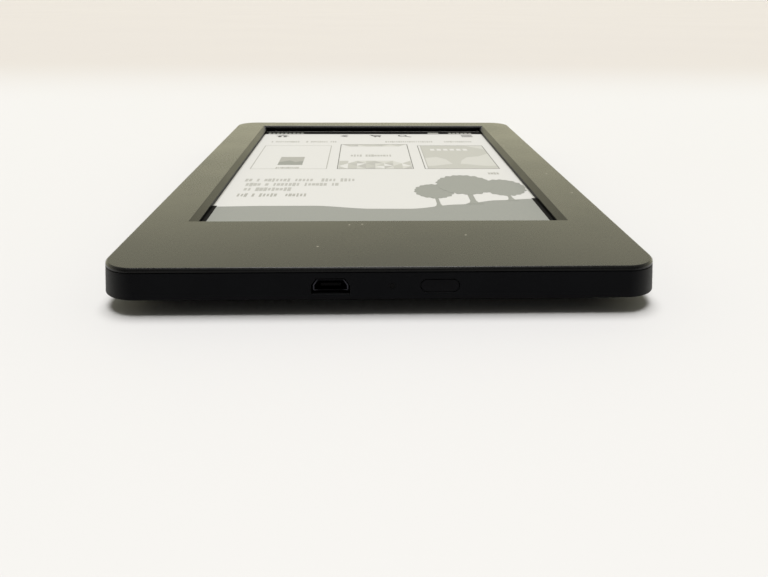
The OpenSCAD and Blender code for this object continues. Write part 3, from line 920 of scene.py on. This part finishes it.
def strokes_rule() -> Rule:
    """Makes the rule for a line of greeked writing: short plain strokes, with gaps between the words.

    Returns:
        The rule.
    """
    rule = Rule(
        "greeked_writing",
        {
            "Length": ("NodeSocketFloat", 0.02),
            "Pitch": ("NodeSocketFloat", 0.001),
            "Height": ("NodeSocketFloat", 0.0015),
            "Thickness": ("NodeSocketFloat", 0.00001),
            "Word Gaps": ("NodeSocketFloat", 0.17),
            "Seed": ("NodeSocketInt", 1),
            "Material": ("NodeSocketMaterial", None),
        },
    )
    pitch, seed = rule.value("Pitch"), rule.value("Seed")
    count = rule.add(MATH, {0: rule.value("Length"), 1: pitch}, operation="DIVIDE")
    spots = {"Count": count, "Offset": rule.add(JOIN, {"X": pitch})}
    line = rule.add("GeometryNodeMeshLine", spots, mode="OFFSET")
    gap = rule.add(RANDOM, {"Probability": rule.value("Word Gaps"), "Seed": seed}, data_type="BOOLEAN")
    words = rule.add("GeometryNodeDeleteGeometry", {"Geometry": line, "Selection": gap}, domain="POINT")
    # The widths draw on another seed than the heights.
    after = rule.add(MATH, {0: seed, 1: 11.0}, operation="ADD")
    wide = rule.add(RANDOM, {2: 0.5, 3: 0.92, "Seed": after}, data_type="FLOAT")
    tall = rule.add(RANDOM, {2: 0.62, 3: 1.0, "Seed": seed}, data_type="FLOAT")
    width = rule.add(MATH, {0: wide, 1: pitch}, operation="MULTIPLY")
    height = rule.add(MATH, {0: tall, 1: rule.value("Height")}, operation="MULTIPLY")
    size = rule.add(JOIN, {"X": width, "Y": height, "Z": rule.value("Thickness")})
    cube = rule.add("GeometryNodeMeshCube", {"Size": (1.0, 1.0, 1.0)}).outputs["Mesh"]
    lift = rule.add(MATH, {0: height, 1: 0.5}, operation="MULTIPLY")
    strokes = rule.add(COPIES, {"Points": words, "Instance": cube, "Scale": size})
    raised = {"Instances": strokes, "Translation": rule.add(JOIN, {"Y": lift})}
    rule.end(rule.add("GeometryNodeTranslateInstances", raised), "Material")
    return rule


# Case


@dataclass
class CaseShells:
    """Front bezel and rear cover, the two mouldings that close on each other at the seam."""

    edge_round: float = 0.09
    steps: int = 2
    frame_side: float = 11.0
    frame_end: float = 11.0
    slope_reach: float = 1.2
    least_upright: float = 0.2
    most_upright: float = 0.98

    def build(self, nodes: Nodes) -> None:
        """Rounds both mouldings and dresses them.

        Args:
            nodes: Frame parts by name.
        """
        bezel = softened(nodes["front_bezel"], "bezel_moulding", self.edge_round, self.steps)
        low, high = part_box("front_bezel")
        reach = (high.x - low.x) / 2 - self.frame_side * MM
        middle, floor = (low.x + high.x) / 2, high.z - self.slope_reach * MM
        for face in bezel.polygons:
            sloped = self.least_upright < face.normal.z < self.most_upright
            if sloped and abs(face.center.x - middle) < reach and face.center.z > floor:
                inside = low.y + self.frame_end * MM < face.center.y < high.y - self.frame_end * MM
                face.material_index = int(inside)
        finishes = [BEZEL_PLASTIC, WINDOW_EDGE]
        place("bezel_moulding", bezel, finishes, Body.CASE, ("front_bezel",))
        cover = softened(nodes["rear_cover"], "cover_moulding", self.edge_round, self.steps)
        place("cover_moulding", cover, [COVER_PLASTIC], Body.CASE, ("rear_cover",))


# Screen


@dataclass
class Writing:
    """One greeked line on the page, placed from the page's top left corner."""

    left: float
    right: float
    down: float
    height: float
    shade: Shade = Shade.SOFT
    gaps: float = 0.15


@dataclass
class Tree:
    """One rounded tree of the grove: a trunk and a leafy crown."""

    across: float
    down: float
    half_width: float
    half_height: float
    trunk: float
    lobes: int


@dataclass
class ScreenPicture:
    """The picture on the ink film, laid out on the page in millimetres from its top left corner."""

    page_width: float = 90.6
    page_length: float = 122.4
    film_margin: float = 3.0
    status_height: float = 5.1
    hidden_foot: float = 3.2
    margin_inset: float = 0.7
    margin_reach: float = 0.7
    bar_above: float = 0.6
    left_above: float = 0.8
    right_above: float = 0.6
    line_width: float = 0.32
    layer: float = 0.008
    crest: tuple[Point, ...] = (
        (0, 107.4), (14, 106.9), (27, 106.9), (44, 109.8), (54, 109.9), (68, 106.0), (80, 102.0),
        (90.6, 100.6),
    )
    trees: tuple[Tree, ...] = (
        Tree(62.4, 92.4, 5.8, 7.4, 1.1, 13),
        Tree(83.9, 88.4, 6.6, 8.8, 1.2, 14),
        Tree(72.6, 85.0, 8.6, 10.8, 1.7, 17),
    )
    writing: tuple[Writing, ...] = (
        Writing(4.6, 16.5, 20.6, 2.9, Shade.SOFT, 0.1),
        Writing(18.5, 30.7, 20.6, 2.9, Shade.SOFT, 0.1),
        Writing(49.2, 69.9, 20.6, 2.9, Shade.SOFT, 0.1),
        Writing(73.6, 85.8, 20.6, 2.9, Shade.SOFT, 0.1),
        Writing(36.8, 53.6, 45.2, 3.6, Shade.SOFT, 0.1),
        Writing(11.6, 20.0, 63.4, 2.2, Shade.MEDIUM, 0.0),
        Writing(70.6, 79.4, 63.6, 2.2, Shade.MEDIUM, 0.0),
        Writing(82.6, 86.8, 71.4, 3.2, Shade.MEDIUM, 0.0),
        Writing(4.3, 39.4, 79.4, 4.0, Shade.SOFT),
        Writing(4.1, 34.7, 84.6, 4.0, Shade.SOFT),
        Writing(4.4, 23.3, 90.0, 4.0, Shade.SOFT),
        Writing(4.6, 25.2, 96.2, 3.6, Shade.MEDIUM),
    )
    shades: list[Shade] = field(default_factory=lambda: list(Shade))

    def build(self) -> None:
        """Draws the page and places it on the film."""
        low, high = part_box("display_film")
        self.left = low.x + self.film_margin * MM
        self.top = high.y - self.film_margin * MM
        self.base = high.z
        self.bm = bmesh.new()
        self.draw_page()
        self.draw_icons()
        self.draw_covers()
        self.draw_landscape()
        page = finish_mesh(self.bm, "screen_page")
        place("screen_page", page, [s.finish() for s in self.shades], Body.CASE)
        self.draw_writing()

    def at(self, across: float, down: float) -> Point:
        """Turns a place on the page into metres in the frame."""
        return (self.left + across * MM, self.top - down * MM)

    def shape(self, corners: list[Point], level: int, shade: Shade) -> None:
        """Adds a flat inked shape.

        Args:
            corners: Places on the page.
            level: How many layers it stands above the film.
            shade: Its grey.
        """
        outline = [self.at(across, down) for across, down in corners]
        prism(self.bm, outline, self.base, self.base + level * self.layer * MM, self.shades.index(shade))

    def box(self, left: float, top: float, right: float, foot: float, level: int, shade: Shade) -> None:
        """Adds an inked rectangle."""
        self.shape([(left, top), (left, foot), (right, foot), (right, top)], level, shade)

    def border(self, left: float, top: float, right: float, foot: float, level: int, shade: Shade) -> None:
        """Adds the thin outline of a rectangle."""
        w = self.line_width
        self.box(left, top, right, top + w, level, shade)
        self.box(left, foot - w, right, foot, level, shade)
        self.box(left, top + w, left + w, foot - w, level, shade)
        self.box(right - w, top + w, right, foot - w, level, shade)

    def draw_page(self) -> None:
        """Draws the white page, the black status bar and the dark margins at its foot."""
        reach = self.margin_reach
        self.box(0, self.status_height, self.page_width, self.page_length, 1, Shade.PAGE)
        self.box(-reach, -self.bar_above, self.page_width + reach, self.status_height, 1, Shade.BLACK)
        inset = self.margin_inset
        wide = self.page_width
        foot = self.page_length + self.hidden_foot
        left, right = self.crest_down(0) - self.left_above, self.crest_down(wide) - self.right_above
        self.box(-reach, left, inset, foot, 4, Shade.BLACK)
        self.box(wide - inset, right, wide + reach, foot, 4, Shade.BLACK)
        # Small marks for the clock and the battery on the status bar.
        self.box(68.3, 2.0, 72.9, 4.2, 2, Shade.MEDIUM)
        for i in range(6):
            self.box(77.2 + 1.7 * i, 2.1 + 0.3 * (i % 2), 78.4 + 1.7 * i, 4.2, 2, Shade.MEDIUM)
        for i in range(9):
            self.box(0.8 + 1.7 * i, 2.1 + 0.3 * (i % 2), 1.9 + 1.7 * i, 4.2, 2, Shade.CROWN)

    def draw_icons(self) -> None:
        """Draws five plain tool icons: house, chevron, basket, lens and menu."""
        ink = Shade.INK
        y = 6.7
        roof = [(4.6, 2.4), (7.4, 0.0), (10.2, 2.4), (9.4, 2.9), (7.4, 1.2), (5.4, 2.9)]
        chevron = [(31.1, 2.2), (34.0, 0.0), (34.7, 0.8), (32.6, 2.2), (34.7, 3.6), (34.0, 4.4)]
        basket = [(43.4, 0.2), (44.7, 0.2), (45.0, 1.1), (48.5, 1.1), (47.9, 3.2), (45.2, 3.2)]
        self.shape([(x, y + down) for x, down in roof], 2, ink)
        self.box(5.7, y + 2.6, 7.0, y + 4.6, 2, ink)
        self.box(7.8, y + 2.6, 9.1, y + 4.6, 2, ink)
        self.shape([(x, y + down) for x, down in chevron], 2, ink)
        self.shape([(x, y + down) for x, down in basket], 2, ink)
        for x in (45.4, 47.2):
            self.box(x, y + 3.6, x + 0.8, y + 4.5, 2, ink)
        turns = [math.pi * k / 8 for k in range(16)]
        self.shape([(57.2 + 1.9 * math.cos(a), y + 1.7 + 1.7 * math.sin(a)) for a in turns], 2, ink)
        self.shape([(57.2 + 1.2 * math.cos(a), y + 1.7 + 1.0 * math.sin(a)) for a in turns], 3, Shade.PAGE)
        self.shape([(58.2, y + 3.0), (58.9, y + 2.6), (61.0, y + 4.2), (60.3, y + 4.6)], 2, ink)
        for i in range(3):
            self.box(81.9, y + 0.3 + 1.6 * i, 86.5, y + 1.1 + 1.6 * i, 2, ink)

    def draw_covers(self) -> None:
        """Draws the three book covers of the home page."""
        self.border(2.8, 27.8, 28.7, 65.0, 2, Shade.MEDIUM)
        self.box(11.4, 47.3, 19.9, 59.4, 2, Shade.MEDIUM)
        ridge = [(11.4, 59.4), (11.4, 55.2), (15.0, 52.8), (17.2, 55.0), (19.9, 53.6), (19.9, 59.4)]
        self.shape(ridge, 3, Shade.CROWN)
        self.border(32.1, 25.6, 58.2, 65.1, 3, Shade.DARK)
        self.draw_tiles(32.6, 53.4, 57.7, 64.8, 3)
        self.draw_tiles(32.6, 26.0, 57.7, 29.4, 1)
        self.border(61.9, 27.8, 87.5, 65.2, 3, Shade.DARK)
        self.box(63.0, 28.0, 63.3, 65.0, 3, Shade.MEDIUM)
        self.box(63.3, 28.2, 87.2, 64.9, 2, Shade.FAINT)
        cliff = [(63.3, 28.2), (63.3, 49.0), (67.5, 47.5), (70.6, 51.0), (72.4, 58.5), (74.6, 60.5)]
        cliff += [(76.0, 53.0), (78.6, 47.8), (83.0, 46.5), (87.2, 42.0), (87.2, 35.0), (80.4, 28.2)]
        self.shape(cliff, 3, Shade.PALE)
        bank = [(63.3 + 23.9 * k / 24, 59.5 + 1.6 * math.cos(k / 24 * 7.0)) for k in range(25)]
        self.shape(bank + [(87.2, 64.9), (63.3, 64.9)], 4, Shade.PALE)
        for i in range(6):
            self.box(66.4 + 2.5 * i, 34.0, 68.0 + 2.5 * i, 37.0, 5, Shade.PAGE)

    def draw_tiles(self, left: float, top: float, right: float, foot: float, rows: int) -> None:
        """Draws a band of split tiles in three greys, as on a patterned book cover."""
        dice = random.Random(rows * 5)
        columns = 8
        w, h = (right - left) / columns, (foot - top) / rows
        greys = (Shade.PALE, Shade.PALE, Shade.SOFT, Shade.FAINT, Shade.PAGE)
        for column in range(columns):
            for row in range(rows):
                x, y = left + column * w, top + row * h
                first, second = dice.sample(greys, 2)
                flip = (column + row) % 2
                corners = [(x, y), (x, y + h), (x + w, y + h), (x + w, y)]
                self.shape([corners[flip], corners[1 + flip], corners[2 + flip]], 2, first)
                self.shape([corners[(2 + flip) % 4], corners[(3 + flip) % 4], corners[flip]], 2, second)

    def crest_down(self, across: float) -> float:
        """Height of the skyline at a place across the page, eased between the crest's points."""
        for (x0, y0), (x1, y1) in zip(self.crest, self.crest[1:]):
            if across <= x1:
                t = (across - x0) / (x1 - x0)
                return y0 + (y1 - y0) * t * t * (3 - 2 * t)
        return self.crest[-1][1]

    def draw_landscape(self) -> None:
        """Draws the rolling hills and the grove of rounded trees on them."""
        steps = 60
        along = [self.page_width * k / steps for k in range(steps + 1)]
        skyline = [(across, self.crest_down(across)) for across in along]
        foot = self.page_length + self.hidden_foot
        self.shape(skyline + [(self.page_width, foot), (0, foot)], 2, Shade.HILL)
        for number, tree in enumerate(self.trees):
            self.draw_tree(tree, 3 + 2 * number)

    def draw_tree(self, tree: Tree, level: int) -> None:
        """Draws one tree with a lobed crown and a trunk that widens at its root."""
        ground = self.crest_down(tree.across) + 1.0
        sides = 110
        crown = []
        for k in range(sides):
            a = 2 * math.pi * k / sides
            lobe = 0.04 * abs(math.sin(tree.lobes * a / 2 + level))
            ripple = 1 + lobe + 0.03 * math.sin((tree.lobes + 6) * a)
            right = min(tree.across + tree.half_width * ripple * math.cos(a), self.page_width)
            crown.append((right, tree.down + tree.half_height * ripple * math.sin(a)))
        self.shape(crown, level + 1, Shade.CROWN)
        t = tree.trunk
        neck = tree.down + tree.half_height * 0.8
        x = tree.across
        flare = [(0.45, neck), (0.5, ground - 3.2), (0.75, ground - 1.4), (1.5, ground)]
        trunk = [(x - wide * t, down) for wide, down in flare]
        trunk += [(x + wide * t, down) for wide, down in reversed(flare)]
        self.shape(trunk, level, Shade.CROWN)

    def draw_writing(self) -> None:
        """Sets the greeked lines on the page, one plain mesh in the greys that they use."""
        rule = strokes_rule()
        used = list(dict.fromkeys(line.shade for line in self.writing))
        joined = bmesh.new()
        for number, line in enumerate(self.writing):
            settings = {
                "Length": (line.right - line.left) * MM,
                "Pitch": line.height * 0.3 * MM,
                "Height": line.height * MM,
                "Thickness": 2 * self.layer * MM,
                "Word Gaps": line.gaps,
                "Seed": 31 + 7 * number,
                "Material": line.shade.finish().material(),
            }
            strokes = rule.run(f"writing_{number}", bpy.data.meshes.new("writing_base"), settings)
            x, y = self.at(line.left, line.down)
            strokes.transform(Matrix.Translation((x, y, self.base + 1.6 * self.layer * MM)))
            before = len(joined.faces)
            joined.from_mesh(strokes)
            joined.faces.ensure_lookup_table()
            for face in joined.faces[before:]:
                face.material_index = used.index(line.shade)
            bpy.data.meshes.remove(strokes)
        mesh = finish_mesh(joined, "screen_writing")
        place("screen_writing", mesh, [s.finish() for s in used], Body.CASE)


@dataclass
class ScreenStack:
    """Film, light guide, glass, foam frame and ribbon, from the top down."""

    guide_round: float = 0.06

    def build(self, nodes: Nodes) -> None:
        """Dresses the layers of the display and draws its picture."""
        film = softened(nodes["display_film"], "ink_film", 0.04)
        place("ink_film", film, [Shade.MARGIN.finish()], Body.CASE, ("display_film",))
        guide = softened(nodes["light_guide"], "guide_ring", self.guide_round)
        place("guide_ring", guide, [GUIDE_PLASTIC], Body.CASE, ("light_guide",))
        dress(nodes["display_panel"], PANEL_GLASS)
        dress(nodes["display_gasket"], FOAM_TAPE)
        dress(nodes["display_flex"], RIBBON_FILM)
        ScreenPicture().build()


def dress(node: bpy.types.Object, finish: Finish) -> None:
    """Gives a frame part its finish in place of the plain one."""
    material = finish.material()
    node.data.materials.clear()
    node.data.materials.append(material)
    LOG.info("%s: %s", node.name, finish.name)


# Inside parts


@dataclass
class TouchRing:
    """Infrared touch ring: slim circuit board with lensed emitters facing lensed receivers."""

    sensor_long: float = 2.4
    sensor_deep: float = 1.2
    sensor_tall: float = 1.2
    lens_radius: float = 0.42
    lens_out: float = 0.16

    def sensor(self, name: str) -> bpy.types.Object:
        """Makes one sensor that faces +X: a body, a lens dome and two solder ends."""
        bm = bmesh.new()
        half_long, half_deep = self.sensor_long / 2 * MM, self.sensor_deep / 2 * MM
        tall = self.sensor_tall * MM
        waist = half_long * 0.82
        spans = [(-waist, waist, 1.0, 0)]
        spans += [(side * waist, side * half_long, 0.55, 1) for side in (-1, 1)]
        for near, far, share, shade in spans:
            outline = [(-half_deep, near), (half_deep, near), (half_deep, far), (-half_deep, far)]
            prism(bm, outline, 0, tall * share, shade)
        rings, sides = 5, 16
        dome = []
        for ring in range(rings):
            a = math.pi / 2 * ring / rings
            out = half_deep + (self.lens_out * math.sin(a) - 0.02) * MM
            radius = self.lens_radius * math.cos(a) * MM
            dome.append([
                bm.verts.new((out, radius * math.cos(t), tall * 0.62 + radius * math.sin(t)))
                for t in (2 * math.pi * k / sides for k in range(sides))
            ])
        tip = bm.verts.new((half_deep + (self.lens_out - 0.02) * MM, 0, tall * 0.62))
        for near, far in zip(dome, dome[1:]):
            for k in range(sides):
                bm.faces.new((near[k], near[(k + 1) % sides], far[(k + 1) % sides], far[k]))
        for k in range(sides):
            bm.faces.new((dome[-1][k], dome[-1][(k + 1) % sides], tip))
        bm.faces.new(dome[0][::-1])
        return bpy.data.objects.new(name, finish_mesh(bm, name))

    def rows(self, node: bpy.types.Object) -> list[list[Vector]]:
        """Finds the foot of every sensor of a frame group, split into side and end rows.

        Args:
            node: Frame group of plain sensor blocks.

        Returns:
            Two lists of points: sensors whose length runs along Y, then along X.
        """
        side: list[Vector] = []
        end: list[Vector] = []
        for low, high in blocks(node):
            foot = Vector(((low.x + high.x) / 2, (low.y + high.y) / 2, low.z))
            (side if high.y - low.y > high.x - low.x else end).append(foot)
        return [side, end]

    def build(self, nodes: Nodes) -> None:
        """Dresses the board and its ribbon, and puts a lensed sensor on each plain block."""
        dress(nodes["touch_board"], BOARD_MASK)
        dress(nodes["touch_flex"], RIBBON_FILM)
        rule = copies_rule("sensor_row")
        part = self.sensor("sensor_part")
        for finish in (LENS_RESIN, SCREW_STEEL):
            part.data.materials.append(finish.material())
        emitters, receivers = (LENS_RESIN, "emitter_resin"), (DARK_RESIN, "receiver_resin")
        for node_name, (finish, slot) in {"ir_emitters": emitters, "ir_receivers": receivers}.items():
            part.data.materials[0] = finish.material()
            dressed = face_materials(finish, SCREW_STEEL)
            joined = bmesh.new()
            for along_x, row in enumerate(self.rows(nodes[node_name])):
                middle = sum((p.y if along_x else p.x) for p in row) / len(row)
                facing = (-90 if middle > 0 else 90) if along_x else (180 if middle > 0 else 0)
                settings = {"Part": part, "Turn": (0.0, 0.0, math.radians(facing)), **dressed}
                copies = rule.run(f"{node_name}_{along_x}", points_mesh("row", row), settings)
                joined.from_mesh(copies)
                bpy.data.meshes.remove(copies)
            mesh = weighted(finish_mesh(joined, f"lensed_{node_name}"), f"lensed_{node_name}", 40.0)
            place(f"lensed_{node_name}", mesh, [finish, SCREW_STEEL], Body.CASE, (node_name,))
        bpy.data.objects.remove(part)


@dataclass
class MainBoard:
    """Main circuit board with its packages, shield can, small parts and antenna."""

    part_pitch: float = 2.9
    keep_clear: float = 1.4
    share: float = 0.42
    seed: int = 12

    def small_parts(self) -> bpy.types.Object:
        """Makes one chip capacitor: a body with two tinned ends."""
        bm = bmesh.new()
        for low, high, shade in ((-0.8, -0.45, 1), (-0.45, 0.45, 0), (0.45, 0.8, 1)):
            grow = 0.02 if shade else 0.0
            half = 0.4 + grow
            corners = [(low, -half), (high, -half), (high, half), (low, half)]
            prism(bm, [(x * MM, y * MM) for x, y in corners], 0, (0.6 + grow) * MM, shade)
        return bpy.data.objects.new("chip_part", finish_mesh(bm, "chip_part"))

    def free_places(self, taken: list[bpy.types.Object]) -> list[Vector]:
        """Finds grid places on the board's lower face that are clear of the parts there."""
        low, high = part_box("main_board")
        boxes = [pair for node in taken for pair in blocks(node)]
        dice = random.Random(self.seed)
        step, clear = self.part_pitch * MM, self.keep_clear * MM
        places = []
        for i in range(int((high.x - low.x) / step)):
            for j in range(int((high.y - low.y) / step)):
                x, y = low.x + (i + 0.5) * step, low.y + (j + 0.5) * step
                near = any(
                    a.x - clear < x < b.x + clear and a.y - clear < y < b.y + clear for a, b in boxes
                )
                edge = min(x - low.x, high.x - x, y - low.y, high.y - y) < clear
                if not near and not edge and dice.random() < self.share:
                    places.append(Vector((x, y, low.z)))
        return places

    def build(self, nodes: Nodes) -> None:
        """Dresses the board's parts and sets the small ones on it."""
        finishes = {
            "main_board": BOARD_MASK,
            "processor": CHIP_EPOXY,
            "memory_chips": CHIP_EPOXY,
            "shield_can": CAN_STEEL,
            "wifi_module": CAN_STEEL,
            "antenna": RIBBON_FILM,
            "antenna_lead": BLACK_SLEEVE,
            "board_connectors": CREAM_NYLON,
            "chassis": CAST_METAL,
        }
        for name, finish in finishes.items():
            dress(nodes[name], finish)
        part = self.small_parts()
        for finish in (CREAM_NYLON, CAN_STEEL):
            part.data.materials.append(finish.material())
        taken = ["shield_can", "wifi_module", "board_connectors"]
        taken += ["board_screws", "battery_lead", "antenna_lead"]
        places = self.free_places([nodes[name] for name in taken])
        rule = copies_rule("board_parts")
        settings = {"Part": part, "Turn": (math.pi, 0.0, 0.0), "Random Turn": math.tau, "Seed": self.seed}
        settings.update(face_materials(CREAM_NYLON, CAN_STEEL))
        mesh = rule.run("board_parts", points_mesh("places", places), settings)
        place("board_parts", mesh, [CREAM_NYLON, CAN_STEEL], Body.CASE)
        bpy.data.objects.remove(part)


@dataclass
class PowerPack:
    """Battery cell with its protection board, leads and adhesive pad."""

    cell_round: float = 0.5

    def build(self, nodes: Nodes) -> None:
        """Dresses the battery's parts and softens the pouch."""
        cell = softened(nodes["battery_cell"], "battery_pouch", self.cell_round, 3, 30.0)
        place("battery_pouch", cell, [POUCH_FOIL], Body.CASE, ("battery_cell",))
        dress(nodes["battery_circuit"], BOARD_MASK)
        dress(nodes["battery_lead"], RED_SLEEVE)
        dress(nodes["battery_pad"], FOAM_TAPE)


@dataclass
class BottomEdge:
    """What shows in the bottom wall: charging socket, charge light and power button."""

    shell_round: float = 0.05
    button_round: float = 0.1

    def build(self, nodes: Nodes) -> None:
        """Rounds and dresses the socket, the light and the button with its switch."""
        shell = softened(nodes["usb_shell"], "socket_shell", self.shell_round)
        place("socket_shell", shell, [SOCKET_STEEL], Body.CASE, ("usb_shell",))
        dress(nodes["usb_tongue"], BLACK_NYLON)
        button = softened(nodes["power_button"], "power_cap", self.button_round, 3)
        place("power_cap", button, [BUTTON_PLASTIC], Body.POWER_KEY, ("power_button",))
        dress(nodes["switch_plunger"], CREAM_NYLON)
        dress(nodes["power_switch"], BLACK_NYLON)
        dress(nodes["charge_led"], DIODE_RESIN)
        dress(nodes["light_pipe"], PIPE_PLASTIC)


@dataclass
class Fasteners:
    """Pan-head machine screws with a cross recess and a cut thread."""

    head_radius: float = 1.2
    head_height: float = 0.7
    shank_radius: float = 0.6
    thread_pitch: float = 0.35
    recess_depth: float = 0.4

    def screw(self, name: str, length: float) -> bpy.types.Object:
        """Makes one screw that stands on its head, with the thread pointing up."""
        head, shank = self.head_radius, self.shank_radius
        profile: list[Point] = [(0, -self.head_height), (head * 0.72, -self.head_height)]
        profile += [(head, -self.head_height * 0.6), (head, 0.0), (shank * 0.9, 0.0)]
        turns = int(length / self.thread_pitch) - 1
        for turn in range(turns):
            z = 0.1 + turn * self.thread_pitch
            profile += [(shank * 0.84, z), (shank, z + self.thread_pitch * 0.5)]
        profile += [(shank * 0.7, length - 0.1), (shank * 0.4, length), (0, length)]
        body = bpy.data.objects.new(name, finish_mesh(turned(profile), name))
        cutter_bm = bmesh.new()
        for wide, deep in ((0.75, 0.15), (0.15, 0.75)):
            corners = [(-wide, -deep), (wide, -deep), (wide, deep), (-wide, deep)]
            outline = [(x * MM, y * MM) for x, y in corners]
            shift = 0.01 * deep * MM
            top = (self.recess_depth - self.head_height) * MM + shift
            prism(cutter_bm, outline, -(self.head_height + 0.2) * MM - shift, top)
        cutter = bpy.data.objects.new(name + "_recess", finish_mesh(cutter_bm, name + "_recess"))
        for obj in (body, cutter):
            bpy.context.scene.collection.objects.link(obj)
        cut = body.modifiers.new("recess", "BOOLEAN")
        cut.operation = "DIFFERENCE"
        cut.solver = "EXACT"
        cut.use_self = True
        cut.object = cutter
        mesh = weighted(evaluated(body, name), name, 35.0)
        bpy.data.objects.remove(cutter)
        return bpy.data.objects.new(name, mesh)

    def places(self, node: bpy.types.Object) -> list[Vector]:
        """Finds where each screw's head meets its shank, from the frame's plain screws."""
        lift = self.head_height * MM
        pairs = blocks(node)
        return [Vector(((a.x + b.x) / 2, (a.y + b.y) / 2, a.z + lift)) for a, b in pairs]

    def build(self, nodes: Nodes) -> None:
        """Puts a detailed screw at each plain one."""
        rule = copies_rule("screw_set")
        for seed, node_name in enumerate(("frame_screws", "board_screws")):
            low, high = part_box(node_name)
            length = (high.z - low.z) / MM - self.head_height
            part = self.screw(f"{node_name}_part", length)
            part.data.materials.append(SCREW_STEEL.material())
            settings = {"Part": part, "Random Turn": math.tau, "Seed": seed}
            settings.update(face_materials(SCREW_STEEL, SCREW_STEEL))
            mesh = rule.run(f"cut_{node_name}", points_mesh("spots", self.places(nodes[node_name])), settings)
            place(f"cut_{node_name}", mesh, [SCREW_STEEL], Body.CASE, (node_name,))
            bpy.data.objects.remove(part)


# Studio


@dataclass
class Studio:
    """Plain pale table, soft light and a low camera in front of the bottom edge."""

    focal_length: float = 29.93
    camera_at: tuple[float, float, float] = (-3.2, -204.64, 60.72)
    yaw: float = 1.66
    pitch: float = 24.52
    roll: float = 0.34
    floor_half: float = 40000.0
    wall_glow: str = "#fffbd8"
    room_glow: str = "#fbf9f4"
    seen_strength: float = 0.86
    lamp_strength: float = 4.25
    lamp_spread: float = 36.0
    lamp_tilt: float = 12.0

    def build(self) -> None:
        """Builds the camera, the floor, the sky and the lamp."""
        scene = bpy.context.scene
        scene.view_settings.view_transform = "Standard"
        scene.view_settings.look = "None"
        self.camera(scene)
        self.floor()
        self.sky(scene)
        self.lamp()

    def camera(self, scene: bpy.types.Scene) -> None:
        """Places the camera low in front, looking down over the screen."""
        yaw, pitch, roll = (math.radians(a) for a in (self.yaw, self.pitch, self.roll))
        forward = Vector((math.sin(yaw) * math.cos(pitch), math.cos(yaw) * math.cos(pitch), -math.sin(pitch)))
        side = Vector((math.cos(yaw), -math.sin(yaw), 0))
        up = side.cross(forward)
        right = side * math.cos(roll) + up * math.sin(roll)
        over = up * math.cos(roll) - side * math.sin(roll)
        data = bpy.data.cameras.new("low_front_camera")
        data.sensor_width = 36.0
        data.lens = self.focal_length
        data.clip_start = 0.01
        data.clip_end = 200.0
        camera = bpy.data.objects.new("low_front_camera", data)
        axes = Matrix((right, over, -forward)).transposed().to_4x4()
        camera.matrix_world = Matrix.Translation(Vector(self.camera_at) * MM) @ axes
        scene.collection.objects.link(camera)
        scene.camera = camera

    def floor(self) -> None:
        """Lays the pale table top."""
        half = self.floor_half * MM
        mesh = bpy.data.meshes.new("table_top")
        corners = [(-half, -half, 0), (half, -half, 0), (half, half, 0), (-half, half, 0)]
        mesh.from_pydata(corners, [], [(0, 1, 2, 3)])
        floor = bpy.data.objects.new("table_top", mesh)
        bpy.context.scene.collection.objects.link(floor)
        mesh.materials.append(TABLE_LAMINATE.material())

    def sky(self, scene: bpy.types.Scene) -> None:
        """Surrounds the table with soft light: a pale wall beyond it, a dimmer room above and behind.

        Args:
            scene: Scene that gets the sky.
        """
        world = bpy.data.worlds.new("pale_room")
        world.use_nodes = True
        tree = world.node_tree
        tree.nodes.clear()
        coords = add_node(tree, "ShaderNodeTexCoord")
        axes = add_node(tree, SPLIT, {"Vector": coords.outputs["Generated"]})
        low = {"From Min": 0.12, "From Max": 0.4, "To Min": 1.28, "To Max": 0.84}
        foot = add_node(tree, RANGE, {"Value": axes.outputs["Z"], **low})
        high = {"From Min": 0.4, "From Max": 0.7, "To Min": foot, "To Max": 0.35}
        wall = add_node(tree, RANGE, {"Value": axes.outputs["Z"], **high})
        behind = {"From Min": -0.6, "From Max": 0.1, "To Min": 0.08, "To Max": 1.0}
        far = add_node(tree, RANGE, {"Value": axes.outputs["Y"], **behind})
        strength = add_node(tree, MATH, {0: wall, 1: far}, operation="MULTIPLY")
        glows = {6: linear(self.room_glow), 7: linear(self.wall_glow)}
        tint = add_node(tree, MIX, {0: strength, **glows}, data_type="RGBA")
        glow = add_node(tree, "ShaderNodeBackground", {"Color": tint, "Strength": strength})
        plain = {"Color": linear(self.room_glow), "Strength": self.seen_strength}
        seen = add_node(tree, "ShaderNodeBackground", plain)
        path = add_node(tree, "ShaderNodeLightPath").outputs["Is Camera Ray"]
        both = add_node(tree, "ShaderNodeMixShader", {0: path, 1: glow, 2: seen})
        add_node(tree, "ShaderNodeOutputWorld", {"Surface": both})
        scene.world = world

    def lamp(self) -> None:
        """Lights the table from high up and a little from beyond it, as a wide soft source does."""
        data = bpy.data.lights.new("ceiling_softbox", "SUN")
        data.energy = self.lamp_strength
        data.angle = math.radians(self.lamp_spread)
        data.color = (1.0, 0.985, 0.96)
        lamp = bpy.data.objects.new("ceiling_softbox", data)
        lamp.rotation_euler = (math.radians(-self.lamp_tilt), 0.0, 0.0)
        bpy.context.scene.collection.objects.link(lamp)


def main() -> None:
    """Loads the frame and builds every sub-assembly in order."""
    logging.basicConfig(level=logging.INFO, format="%(name)s %(message)s")
    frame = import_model()
    nodes = frame["nodes"]
    Studio().build()
    CaseShells().build(nodes)
    ScreenStack().build(nodes)
    TouchRing().build(nodes)
    MainBoard().build(nodes)
    PowerPack().build(nodes)
    BottomEdge().build(nodes)
    Fasteners().build(nodes)
    LOG.info("sizes written")


if __name__ == "__main__":
    main()
